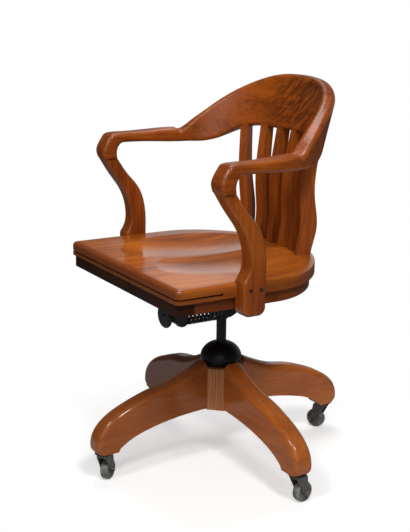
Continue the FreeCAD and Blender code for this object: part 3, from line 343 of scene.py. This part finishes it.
class Recipe(Nodes):
    """A Geometry Nodes tree with named inputs."""

    def __init__(self, name: str, inputs: dict[str, float]) -> None:
        """Makes the tree with its inputs and its one output.

        Args:
            name: the tree's name.
            inputs: the named inputs and the values that the piece gives them.
        """
        super().__init__(bpy.data.node_groups.new(name, "GeometryNodeTree"))
        self.values = inputs
        face = self.tree.interface
        for label in inputs:
            face.new_socket(label, in_out="INPUT", socket_type="NodeSocketFloat")
        face.new_socket("Geometry", in_out="OUTPUT", socket_type="NodeSocketGeometry")
        self.inside = self.node("NodeGroupInput")
        self.outside = self.tree.nodes.new("NodeGroupOutput")

    def mesh(self, name: str, geometry: Wire, material: bpy.types.Material) -> bpy.types.Object:
        """Runs the tree and keeps its result as a plain mesh.

        Args:
            name: the piece's name.
            geometry: the last geometry of the tree.
            material: the finish of the piece.

        Returns:
            The piece, at the origin, with no modifier.
        """
        real = self.node("GeometryNodeRealizeInstances", None, {"Geometry": geometry}).out()
        painted = self.node("GeometryNodeSetMaterial", None, {"Geometry": real, "Material": material}).out()
        self.tree.links.new(painted.socket, self.outside.inputs["Geometry"])
        blank = bpy.data.meshes.new(name + "_blank")
        carrier = bpy.data.objects.new(name + "_carrier", blank)
        bpy.context.scene.collection.objects.link(carrier)
        modifier = carrier.modifiers.new("recipe", "NODES")
        modifier.node_group = self.tree
        for item in self.tree.interface.items_tree:
            if item.in_out == "INPUT":
                modifier[item.identifier] = float(self.values[item.name])
        ready = carrier.evaluated_get(bpy.context.evaluated_depsgraph_get())
        mesh = bpy.data.meshes.new_from_object(ready)
        mesh.name = name
        bpy.data.objects.remove(carrier)
        bpy.data.meshes.remove(blank)
        mesh.materials.clear()
        mesh.materials.append(material)
        piece = bpy.data.objects.new(name, mesh)
        bpy.context.scene.collection.objects.link(piece)
        return piece


# finishes


@dataclass(frozen=True)
class Stain:
    """The tones of a stained wood, from its pores and late wood to its palest figure."""

    deep: Colour
    body: Colour
    light: Colour

    def toned(self, tone: float) -> "Stain":
        """The stain made lighter or darker by one factor."""
        return Stain(*(tuple(part * tone for part in colour)
                       for colour in (self.deep, self.body, self.light)))

    def stops(self) -> list[tuple[float, Colour]]:
        """The stain as stops for a colour ramp."""
        return [(0.06, self.deep), (0.50, self.body), (0.94, self.light)]


ARM_AND_SLAT_STAIN = Stain((0.085, 0.0150, 0.0014), (0.272, 0.0550, 0.0036), (0.440, 0.1130, 0.0110))
LEG_STAIN = Stain((0.14, 0.032, 0.0050), (0.330, 0.084, 0.0130), (0.440, 0.128, 0.024))
HUB_STAIN = Stain((0.150, 0.048, 0.014), (0.490, 0.175, 0.052), (0.66, 0.28, 0.110))
SEAT_STAIN = Stain((0.170, 0.034, 0.0022), (0.480, 0.110, 0.0046), (0.620, 0.185, 0.012))
# Painted shade: the front rail's near-black colour stands in for the shade under the seat's overhang.
FRONT_RAIL_PAINTED_SHADE = Stain((0.006, 0.0013, 0.0004), (0.020, 0.0044, 0.0008), (0.050, 0.012, 0.0020))
RAIL_STAIN = Stain((0.065, 0.0120, 0.0016), (0.160, 0.034, 0.0046), (0.260, 0.068, 0.0100))
CREST_STAIN = Stain((0.034, 0.0054, 0.0005), (0.312, 0.0640, 0.0026), (0.440, 0.108, 0.0070))
PLUG_STAIN = Stain((0.010, 0.004, 0.0015), (0.030, 0.010, 0.004), (0.060, 0.020, 0.008))


@dataclass(frozen=True)
class Cut:
    """How a board was cut from the log: the way of its grain, and where its figure was taken."""

    grain: Grain
    seed: float

    def shift(self) -> Place:
        """The move that gives this board a figure of its own."""
        return (self.seed * 0.37, self.seed * 0.11, self.seed * 0.23)

    def place(self, board: Board, stretch: Place = UNSTRETCHED) -> Wire:
        """The place in this board, with its grain laid along X and then stretched."""
        return board.object_place(stretch, self.grain.value, self.shift())


@dataclass(frozen=True)
class Layer:
    """One layer of a wood's figure: a noise drawn out along the grain."""

    along: float
    across: float
    detail: float
    roughness: float
    stir: float
    edges: tuple[float, float]
    share: float

    def noise(self, board: Board, cut: Cut) -> Wire:
        """The layer's noise, from 0 to 1."""
        place = cut.place(board, (self.along, self.across, self.across))
        return board.noise(place, 1.0, self.detail, self.roughness, self.stir)

    def eased(self, noise: Wire) -> Wire:
        """What the layer adds to the figure."""
        return noise.between(*self.edges) * self.share


@dataclass(frozen=True)
class YearRings:
    """The year rings of a board, which wander and fade in and out."""

    strength: float = 0.22
    spacing: float = 0.009
    heart: tuple[float, float] = (0.06, -0.11)
    sway: float = 0.09
    swell: float = 0.05
    darkening: tuple[float, float] = (0.15, 0.90)
    clearing: tuple[float, float] = (0.92, 1.00)
    fade: tuple[float, float] = (0.35, 0.62)

    def late_wood(self, board: Board, cut: Cut) -> Wire:
        """The dark late wood, which ends sharply where the next ring starts.

        Args:
            board: the material's board.
            cut: how the wood was cut.

        Returns:
            How much late wood shows, from 0 to the rings' strength.
        """
        _, aside, above = cut.shift()
        split = board.split(cut.place(board))
        sway = board.noise(cut.place(board, (2.4, 7.0, 7.0)), 1.0, detail=2.0)
        swell = board.noise(cut.place(board, (1.1, 19.0, 19.0)), 1.0, detail=2.0)
        side = split.out("Y") - (self.heart[0] + aside) + (sway - 0.5) * self.sway
        up = split.out("Z") - (self.heart[1] + above) + (swell - 0.5) * self.swell
        ring = (((side * side + up * up) ** 0.5) / self.spacing).above_whole()
        late = ring.between(*self.darkening) - ring.between(*self.clearing)
        return late * swell.between(*self.fade) * self.strength


@dataclass(frozen=True)
class Flame:
    """A patch of dark diagonal curls in the figure of a board."""

    centre: Place
    reach: Place
    slant: float
    strength: float = 0.72
    fineness: Place = (24.0, 76.0, 135.0)
    edges: tuple[float, float] = (0.40, 0.60)
    fade: tuple[float, float] = (0.35, 1.4)

    def curls(self, board: Board) -> Wire:
        """The dark curls, which fade out from the patch's middle.

        Args:
            board: the material's board.

        Returns:
            How dark the curls are, from 0 to the flame's strength.
        """
        curl = board.noise(board.object_place(self.fineness, (0.0, self.slant, 0.0)), 1.0,
                           detail=2.0, distortion=0.9)
        split = board.split(board.object_place())
        away = 0.0
        for axis, middle, reach in zip("XYZ", self.centre, self.reach):
            step = (split.out(axis) - middle) / reach
            away = step * step + away
        near = 1 - away.between(*self.fade)
        return curl.between(*self.edges) * near * self.strength


@dataclass(frozen=True)
class PaintedShade:
    """Painted shade on one side of a board: the colour darkened where shade falls, full at one place and
    bare at another.
    """

    axis: str
    full: float
    bare: float
    strength: float

    def cover(self, board: Board) -> Wire:
        """The painted shade, which fades from its full side to its bare one.

        Args:
            board: the material's board.

        Returns:
            How much of the wood it hides, from 0 to its strength.
        """
        along = board.split(board.object_place()).out(self.axis)
        worn = (along - self.bare) / (self.full - self.bare)
        return worn.between(0.0, 1.0) * self.strength


@dataclass(frozen=True)
class VarnishedWood:
    """Stained and varnished hardwood with soft figure, dark pores and a satin coat."""

    name: str
    grain: Grain
    stain: Stain = ARM_AND_SLAT_STAIN
    seed: float = 0.0
    figure: float = 0.66
    streak_width: float = 0.006
    rings: YearRings = YearRings()
    flame: Flame | None = None
    painted_shades: tuple[PaintedShade, ...] = ()
    coat: float = 0.5
    coat_roughness: float = 0.20
    roughness: float = 0.46
    cloud_roughness: float = 0.10
    drawn_out: float = 0.05
    pore_scale: float = 620.0
    pore_edges: tuple[float, float] = (0.58, 0.70)
    pore_shade: float = 0.35
    pore_roughness: float = 0.12
    pore_depth: float = 0.8
    fibre_scale: float = 1100.0
    fibre_edges: tuple[float, float] = (0.35, 0.70)
    fibre_sheen: float = 0.12
    fibre_height: float = 0.3
    wave_scale: float = 24.0
    wave_height: float = 3.0
    relief: float = 0.00005

    def material(self) -> bpy.types.Material:
        """Builds the wood.

        Returns:
            The material.
        """
        material, board = new_material(self.name)
        cut = Cut(self.grain, self.seed)
        layers = self._layers()
        noises = [layer.noise(board, cut) for layer in layers]
        _, clouds, _ = noises
        drawn = cut.place(board, (self.drawn_out, 1.0, 1.0))
        pores = board.noise(drawn, self.pore_scale, detail=2.0, roughness=0.6).between(*self.pore_edges)
        fibre = board.noise(drawn, self.fibre_scale, detail=1.0)
        waves = board.noise(board.object_place(), self.wave_scale, detail=2.0)

        mingled = sum(layer.eased(noise) for layer, noise in zip(layers, noises))
        tone = (mingled - 0.5) * self.figure + 0.5
        colour = board.node("ShaderNodeValToRGB", {"stops": self.stain.stops()}, {"Fac": tone}).out()
        shades = [self.rings.late_wood(board, cut)]
        if self.flame:
            shades.append(self.flame.curls(board))
        # Painted shade: these darken the colour where shade falls on the board.
        shades += [painted_shade.cover(board) for painted_shade in self.painted_shades]
        shades.append(pores * self.pore_shade)
        for shade in shades:
            colour = board.mix(shade, colour, self.stain.deep)
        colour = board.mix(fibre.between(*self.fibre_edges) * self.fibre_sheen, colour, self.stain.light)
        height = pores * -self.pore_depth + fibre * self.fibre_height + waves * self.wave_height
        board.end(board.principled({
            "Base Color": colour,
            "Roughness": self.roughness + pores * self.pore_roughness + clouds * self.cloud_roughness,
            "Normal": board.bump(height, self.relief),
            "Coat Weight": self.coat, "Coat Roughness": self.coat_roughness, "Coat IOR": 1.5,
            "Specular IOR Level": 0.15,
        }))
        return material

    def _layers(self) -> tuple[Layer, Layer, Layer]:
        """Sets up the layers of the figure.

        Returns:
            The streaks, the clouds and the patches.
        """
        fine = 1 / self.streak_width
        return (
            Layer(along=fine * self.drawn_out, across=fine, detail=3.0, roughness=0.55, stir=0.3,
                  edges=(0.34, 0.66), share=0.34),
            Layer(along=6.0, across=17.0, detail=3.0, roughness=0.5, stir=0.6,
                  edges=(0.34, 0.66), share=0.30),
            Layer(along=2.5, across=6.0, detail=2.0, roughness=0.5, stir=0.8,
                  edges=(0.36, 0.64), share=0.36),
        )


@dataclass(frozen=True)
class BlackIron:
    """Cast or turned iron under black japan, a little uneven."""

    name: str
    colour: Colour = (0.0025, 0.0025, 0.0028)
    worn: Colour = (0.016, 0.015, 0.014)
    roughness: float = 0.38
    coat: float = 0.08
    shine: float = 0.25
    grit_scale: float = 220.0
    grit_height: float = 0.0001
    blot_scale: float = 34.0
    blot_edges: tuple[float, float] = (0.55, 0.80)
    blot_wear: float = 0.6
    blot_roughness: float = 0.18

    def material(self) -> bpy.types.Material:
        """Builds the iron.

        Returns:
            The material.
        """
        material, board = new_material(self.name)
        place = board.object_place()
        grit = board.noise(place, self.grit_scale)
        blots = board.noise(place, self.blot_scale)
        wear = blots.between(*self.blot_edges) * self.blot_wear
        board.end(board.principled({
            "Base Color": board.mix(wear, self.colour, self.worn),
            "Roughness": self.roughness + blots * self.blot_roughness,
            "Metallic": 0.0, "Specular IOR Level": self.shine,
            "Coat Weight": self.coat, "Coat Roughness": 0.25,
            "Normal": board.bump(grit, self.grit_height),
        }))
        return material


@dataclass(frozen=True)
class BareSteel:
    """Steel that handling has darkened."""

    name: str
    colour: Colour = (0.20, 0.19, 0.18)
    tarnish: Colour = (0.045, 0.040, 0.036)
    roughness: float = 0.34
    blot_scale: float = 60.0
    blot_edges: tuple[float, float] = (0.35, 0.70)
    blot_roughness: float = 0.25
    scratch_scale: float = 700.0
    scratch_height: float = 0.00004

    def material(self) -> bpy.types.Material:
        """Builds the steel.

        Returns:
            The material.
        """
        material, board = new_material(self.name)
        place = board.object_place()
        blots = board.noise(place, self.blot_scale, detail=4.0, roughness=0.6)
        scratches = board.noise(place, self.scratch_scale, detail=2.0)
        board.end(board.principled({
            "Base Color": board.mix(blots.between(*self.blot_edges), self.colour, self.tarnish),
            "Roughness": self.roughness + blots * self.blot_roughness,
            "Metallic": 0.9,
            "Normal": board.bump(scratches, self.scratch_height),
        }))
        return material


@dataclass(frozen=True)
class HardTread:
    """The hard dark composition of the caster wheels, scuffed pale by the floor."""

    name: str
    colour: Colour = (0.070, 0.070, 0.065)
    scuff: Colour = (0.34, 0.34, 0.32)
    roughness: float = 0.42
    scuff_scale: float = 130.0
    scuff_roughness: float = 0.22
    scuff_height: float = 0.00012
    cloud_scale: float = 40.0

    def material(self) -> bpy.types.Material:
        """Builds the tread.

        Returns:
            The material.
        """
        material, board = new_material(self.name)
        place = board.object_place()
        scuffs = board.noise(place, self.scuff_scale, detail=4.0, roughness=0.65)
        clouds = board.noise(place, self.cloud_scale, detail=2.0)
        worn = scuffs.between(0.42, 0.70) * 0.5 + clouds.between(0.4, 0.7) * 0.35
        board.end(board.principled({
            "Base Color": board.mix(worn, self.colour, self.scuff),
            "Roughness": self.roughness + scuffs * self.scuff_roughness,
            "Normal": board.bump(scuffs, self.scuff_height),
        }))
        return material


@dataclass
class Finishes:
    """The finishes that the sub-assemblies share."""

    iron: bpy.types.Material = field(default_factory=BlackIron("black_iron").material)
    fork: bpy.types.Material = field(default_factory=BlackIron(
        "caster_iron", colour=(0.050, 0.049, 0.044), worn=(0.20, 0.19, 0.17),
        roughness=0.34, coat=0.2, shine=0.8).material)
    steel: bpy.types.Material = field(default_factory=BareSteel("steel").material)
    tread: bpy.types.Material = field(default_factory=HardTread("caster_tread").material)
    spring: bpy.types.Material = field(default_factory=BareSteel(
        "spring_steel", colour=(0.050, 0.050, 0.050), tarnish=(0.012, 0.012, 0.012)).material)


# the chair's sub-assemblies


def dress(node: str, material: bpy.types.Material) -> None:
    """Gives a frame node one material.

    Args:
        node: the node's name.
        material: its only material.
    """
    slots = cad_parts[node].data.materials
    slots.clear()
    slots.append(material)
    log.info("%s is finished in %s", node, material.name)


def nodes_named(*endings: str) -> list[str]:
    """The frame's nodes whose names end in one of these words."""
    return [name for name in sorted(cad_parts) if name.endswith(endings)]


@dataclass
class Base:
    """The hub post, the four legs and the casters."""

    finishes: Finishes
    # Each leg's number is painted light and shade: a lighter or darker tone for how the light falls on the
    # side of that leg that is seen.
    legs: dict[str, tuple[Grain, float]] = field(default_factory=lambda: {
        "front_leg": (Grain.FORE_AND_AFT, 0.97), "back_leg": (Grain.FORE_AND_AFT, 1.45),
        "left_leg": (Grain.ACROSS, 1.32), "right_leg": (Grain.ACROSS, 0.45)})

    def build(self) -> None:
        """Dresses the base."""
        self.woodwork()
        for node in ("hub_socket", "caster_sockets"):
            dress(node, self.finishes.iron)
        for ending, finish in (("_caster_fork", self.finishes.fork), ("_caster_axle", self.finishes.steel),
                               ("_caster_wheel", self.finishes.tread)):
            for node in nodes_named(ending):
                dress(node, finish)

    def woodwork(self) -> None:
        """Dresses the legs, each lighter or darker as painted light and shade for how the light falls on
        its seen side, the hub post and the dowels.
        """
        for number, (leg, (grain, tone)) in enumerate(self.legs.items()):
            # The tone here is painted light and shade for this leg's seen side.
            dress(leg, VarnishedWood(leg + "_wood", grain, LEG_STAIN.toned(tone), seed=1.3 + number * 0.9,
                                     rings=YearRings(0.14), figure=0.5, coat=0.6,
                                     coat_roughness=0.12).material())
        dress("hub_post", VarnishedWood("hub_wood", Grain.UPRIGHT, HUB_STAIN, seed=4.2, streak_width=0.0035,
                                        rings=YearRings(0.5, spacing=0.006), coat=0.35).material())
        dress("leg_dowels", VarnishedWood("dowel_wood", Grain.UPRIGHT, seed=9.0, coat=0.0).material())


@dataclass
class Column:
    """The nut, the spindle, the yoke and the tension spring with its bolt, cup and knob."""

    finishes: Finishes
    turns: float = 7.5
    wire_radius: float = 0.0030
    slack: float = 0.0040
    steps_per_turn: int = 36
    wire_sides: int = 12

    def build(self) -> None:
        """Dresses the column and winds the spring."""
        for node in ("hub_nut", "spindle_sleeve", "yoke", "spring_cup", "tension_knob"):
            dress(node, self.finishes.iron)
        for node in ("spindle", "tilt_pin"):
            dress(node, self.finishes.steel)
        for node in ("tension_bolt", "tension_spring"):
            dress(node, self.finishes.spring)
        self.spring()

    def spring(self) -> None:
        """Winds the tension spring between the lug and the cup, short enough for the cup's advance.
        """
        low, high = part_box("tension_spring")
        axis_height = (low.z + high.z) / 2
        coil_radius = (high.x - low.x) / 2 - self.wire_radius
        length = (high.y - low.y) - 2 * self.wire_radius - self.slack
        recipe = Recipe("spring_recipe", {"Wire radius": self.wire_radius, "Coil radius": coil_radius,
                                          "Turns": self.turns, "Length": length})
        radius = recipe.inside.out("Coil radius")
        spiral = recipe.node("GeometryNodeCurveSpiral", None, {
            "Resolution": self.steps_per_turn, "Rotations": recipe.inside.out("Turns"),
            "Start Radius": radius, "End Radius": radius, "Height": recipe.inside.out("Length")}).out()
        circle = recipe.node("GeometryNodeCurvePrimitiveCircle", {"mode": "RADIUS"}, {
            "Resolution": self.wire_sides, "Radius": recipe.inside.out("Wire radius")}).out()
        tube = recipe.node("GeometryNodeCurveToMesh", None, {
            "Curve": spiral, "Profile Curve": circle, "Fill Caps": True}).out()
        laid = recipe.node("GeometryNodeTransform", None, {
            "Geometry": tube, "Rotation": (math.pi / 2, 0.0, 0.0),
            "Translation": (0.0, high.y - self.wire_radius, axis_height)}).out()
        smooth = recipe.node("GeometryNodeSetShadeSmooth", None, {0: laid}).out()
        piece = recipe.mesh("tension_coil", smooth, self.finishes.spring)
        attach(piece, "column")
        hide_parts("tension_spring")
        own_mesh(piece)
        log.info("%s is wound", piece.name)


@dataclass
class SeatAndBack:
    """The seat board, its rails and iron, the arms, the crest and the slats."""

    finishes: Finishes
    slats: int = 6

    def build(self) -> None:
        """Dresses everything that tips with the seat."""
        self.seat_board()
        self.rails()
        self.crest()
        for number, side in enumerate(("left", "right")):
            dress(side + "_arm",
                  VarnishedWood(side + "_arm_wood", Grain.FORE_AND_AFT, seed=6.0 + number).material())
            dress(side + "_arm_post",
                  VarnishedWood(side + "_post_wood", Grain.UPRIGHT, seed=7.0 + number).material())
        for number in range(1, self.slats + 1):
            dress(f"slat_{number}",
                  VarnishedWood(f"slat_{number}_wood", Grain.UPRIGHT, seed=8.0 + 0.7 * number).material())
        self.fastenings()

    def seat_board(self) -> None:
        """Dresses the seat, with painted shade along its front, its left side, its back and its lower edge.
        """
        low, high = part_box("seat")
        # Painted shade: the front face, the left edge by the near corner, the back under the crest and
        # slats, and the strip below the kerf are darkened where shade falls on them.
        front = PaintedShade("Y", full=low.y + 0.003, bare=low.y + 0.022, strength=0.88)
        left = PaintedShade("X", full=high.x - 0.003, bare=high.x - 0.030, strength=0.45)
        back = PaintedShade("Y", full=high.y - 0.010, bare=high.y - 0.160, strength=0.50)
        lower_edge = PaintedShade("Z", full=low.z + 0.008, bare=low.z + 0.024, strength=0.72)
        dress("seat", VarnishedWood("seat_wood", Grain.FORE_AND_AFT, SEAT_STAIN, seed=2.0, figure=0.85,
                                    streak_width=0.008, rings=YearRings(0.20, spacing=0.016),
                                    painted_shades=(front, left, back, lower_edge), coat=0.85,
                                    coat_roughness=0.15).material())

    def rails(self) -> None:
        """Dresses the rails under the seat, the front one painted nearly black as painted shade under the
        seat's overhang.
        """
        # The front rail's near-black colour is painted shade.
        dress("front_rail", VarnishedWood("front_rail_painted_shade_wood", Grain.ACROSS, FRONT_RAIL_PAINTED_SHADE, seed=3.0,
                                          coat=0.0).material())
        for node, grain in (("back_rail", Grain.ACROSS), ("left_rail", Grain.FORE_AND_AFT),
                            ("right_rail", Grain.FORE_AND_AFT)):
            dress(node, VarnishedWood(node + "_wood", grain, RAIL_STAIN, seed=3.4, coat=0.15).material())

    def crest(self) -> None:
        """Dresses the crest rail, with a flame figure left of its middle."""
        flame = Flame(centre=(0.040, 0.135, 0.765), reach=(0.120, 0.100, 0.080), slant=math.radians(46))
        dress("crest_rail", VarnishedWood("crest_wood", Grain.ACROSS, CREST_STAIN, seed=5.5, flame=flame,
                                          rings=YearRings(0.10), figure=0.5,
                                          coat_roughness=0.26).material())

    def fastenings(self) -> None:
        """Dresses the plugs and dowels, the seat iron and the screws."""
        plug = VarnishedWood("plug_wood", Grain.UPRIGHT, PLUG_STAIN, seed=1.0).material()
        for node in nodes_named("_plugs", "_dowels"):
            if node != "leg_dowels":
                dress(node, plug)
        dress("seat_iron", self.finishes.iron)
        for node in nodes_named("_screws"):
            dress(node, self.finishes.steel)


# the studio


@dataclass(frozen=True)
class Softbox:
    """One soft square lamp that looks at the chair."""

    name: str
    bearing: float
    height: float
    distance: float
    size: float
    power: float

    def hang(self, target: Vector) -> None:
        """Hangs the lamp.

        Args:
            target: the point that it looks at.
        """
        light = bpy.data.lights.new(self.name, "AREA")
        light.shape = "SQUARE"
        light.size = self.size
        light.energy = self.power
        lamp = bpy.data.objects.new(self.name, light)
        across, up = math.radians(self.bearing), math.radians(self.height)
        way = Vector((math.cos(across) * math.cos(up), math.sin(across) * math.cos(up), math.sin(up)))
        lamp.location = target + way * self.distance
        lamp.rotation_euler = (-way).to_track_quat("-Z", "Y").to_euler()
        bpy.context.scene.collection.objects.link(lamp)


@dataclass
class Studio:
    """The pale floor and backdrop, the soft lamps and the camera."""

    eye: Place = (1.888, -1.181, 0.987)
    aim: Place = (-0.0192, -0.0307, 0.4203)
    roll: float = math.radians(0.644)
    focal_pixels: float = 1097.3
    picture_height: float = 532.0
    film: float = 36.0
    lit_point: Place = (0.0, 0.0, 0.42)
    floor_half: float = 9.0
    paper: Colour = (0.66, 0.66, 0.65)
    far_paper: Colour = (0.10, 0.10, 0.10)
    paper_reach: tuple[float, float] = (0.6, 1.8)
    lit_paper: Colour = (0.80, 0.80, 0.795)
    paper_lift: float = 0.46
    shadow_reach: tuple[float, float] = (0.30, 0.54)
    room_glow: float = 0.020
    ceiling_glow: float = 0.04
    backdrop_glow: float = 0.66
    mirrored_glow: float = 0.05
    backdrop_way: tuple[float, float] = (0.85, 0.53)
    backdrop_depth: tuple[float, float] = (0.2, 0.7)
    backdrop_side: tuple[float, float] = (-0.13, -0.03)
    backdrop_top: tuple[float, float] = (0.20, 0.40)
    ceiling_rise: tuple[float, float] = (0.4, 1.0)
    lamps: tuple[Softbox, ...] = (
        Softbox("key", -14.0, 46.0, 2.6, 0.5, 30.0),
        Softbox("front_fill", -62.0, 44.0, 2.6, 0.5, 19.0),
        Softbox("low_fill", -40.0, 20.0, 3.0, 1.8, 15.0),
        Softbox("overhead", 150.0, 78.0, 2.4, 1.0, 25.0),
        Softbox("rim", 150.0, 46.0, 2.6, 0.8, 3.0),
    )

    def build(self) -> None:
        """Makes the studio."""
        self.floor()
        self.world()
        for lamp in self.lamps:
            lamp.hang(Vector(self.lit_point))
        self.camera()

    def floor(self) -> None:
        """Lays the floor, which keeps the chair's shadow under a white background."""
        half = self.floor_half
        corners = [(-half, -half, 0), (half, -half, 0), (half, half, 0), (-half, half, 0)]
        mesh = bpy.data.meshes.new("floor")
        mesh.from_pydata(corners, [], [(0, 1, 2, 3)])
        material, board = new_material("pale_floor")
        split = board.split(board.object_place())
        away = (split.out("X") * split.out("X") + split.out("Y") * split.out("Y")) ** 0.5
        paper = board.mix(away.between(*self.paper_reach), self.paper, self.far_paper)
        laid = board.principled({"Base Color": paper, "Roughness": 0.9, "Specular IOR Level": 0.1})
        lit = board.principled({"Base Color": self.lit_paper, "Roughness": 0.9, "Specular IOR Level": 0.1,
                                "Emission Color": WHITE, "Emission Strength": self.paper_lift})
        white = board.node("ShaderNodeEmission", None, {"Color": WHITE, "Strength": 1.0}).out()
        seen = board.node("ShaderNodeMixShader", None,
                          {0: away.between(*self.shadow_reach), 1: lit, 2: white}).out()
        shown = board.node("ShaderNodeLightPath").out("Is Camera Ray")
        board.end(board.node("ShaderNodeMixShader", None, {0: shown, 1: laid, 2: seen}).out())
        mesh.materials.append(material)
        floor = bpy.data.objects.new("floor", mesh)
        bpy.context.scene.collection.objects.link(floor)

    def world(self) -> None:
        """Puts a bright backdrop behind the chair and a dim room before it, all white to the camera."""
        world = bpy.data.worlds.new("room")
        bpy.context.scene.world = world
        world.use_nodes = True
        board = Board(world.node_tree, "ShaderNodeOutputWorld")
        split = board.split(board.node("ShaderNodeTexCoord").out("Generated"))
        long, short = self.backdrop_way
        behind = split.out("Y") * short - split.out("X") * long
        aside = split.out("X") * short + split.out("Y") * long
        low = 1 - split.out("Z").between(*self.backdrop_top)
        backdrop = behind.between(*self.backdrop_depth) * aside.between(*self.backdrop_side) * low
        ceiling = split.out("Z").between(*self.ceiling_rise)
        rays = board.node("ShaderNodeLightPath")
        shown = rays.out("Is Camera Ray") + rays.out("Is Transmission Ray")
        room = (self.room_glow + backdrop * self.backdrop_glow + ceiling * self.ceiling_glow
                + rays.out("Is Glossy Ray") * self.mirrored_glow)
        board.end(board.node("ShaderNodeBackground", None, {
            "Color": WHITE, "Strength": shown + (1 - shown) * room}).out())

    def camera(self) -> None:
        """Sets up the camera at the photograph's angle."""
        eye = Vector(self.eye)
        forward = (Vector(self.aim) - eye).normalized()
        right = forward.cross(Vector((0, 0, 1))).normalized()
        up = right.cross(forward)
        lean = math.cos(self.roll), math.sin(self.roll)
        side = right * lean[0] + up * lean[1]
        top = up * lean[0] - right * lean[1]
        data = bpy.data.cameras.new("camera")
        data.sensor_width = self.film
        data.lens = self.focal_pixels / self.picture_height * self.film
        camera = bpy.data.objects.new("camera", data)
        camera.matrix_world = Matrix((
            (side.x, top.x, -forward.x, eye.x), (side.y, top.y, -forward.y, eye.y),
            (side.z, top.z, -forward.z, eye.z), (0, 0, 0, 1)))
        bpy.context.scene.collection.objects.link(camera)
        bpy.context.scene.camera = camera
        bpy.context.scene.view_settings.view_transform = "Standard"


def main() -> None:
    """Builds the chair's looks and the studio."""
    logging.basicConfig(level=logging.INFO, format="%(name)s: %(message)s")
    finishes = Finishes()
    for part in (Base(finishes), Column(finishes), SeatAndBack(finishes), Studio()):
        part.build()
        log.info("%s is ready", type(part).__name__)


if __name__ == "__main__":
    main()
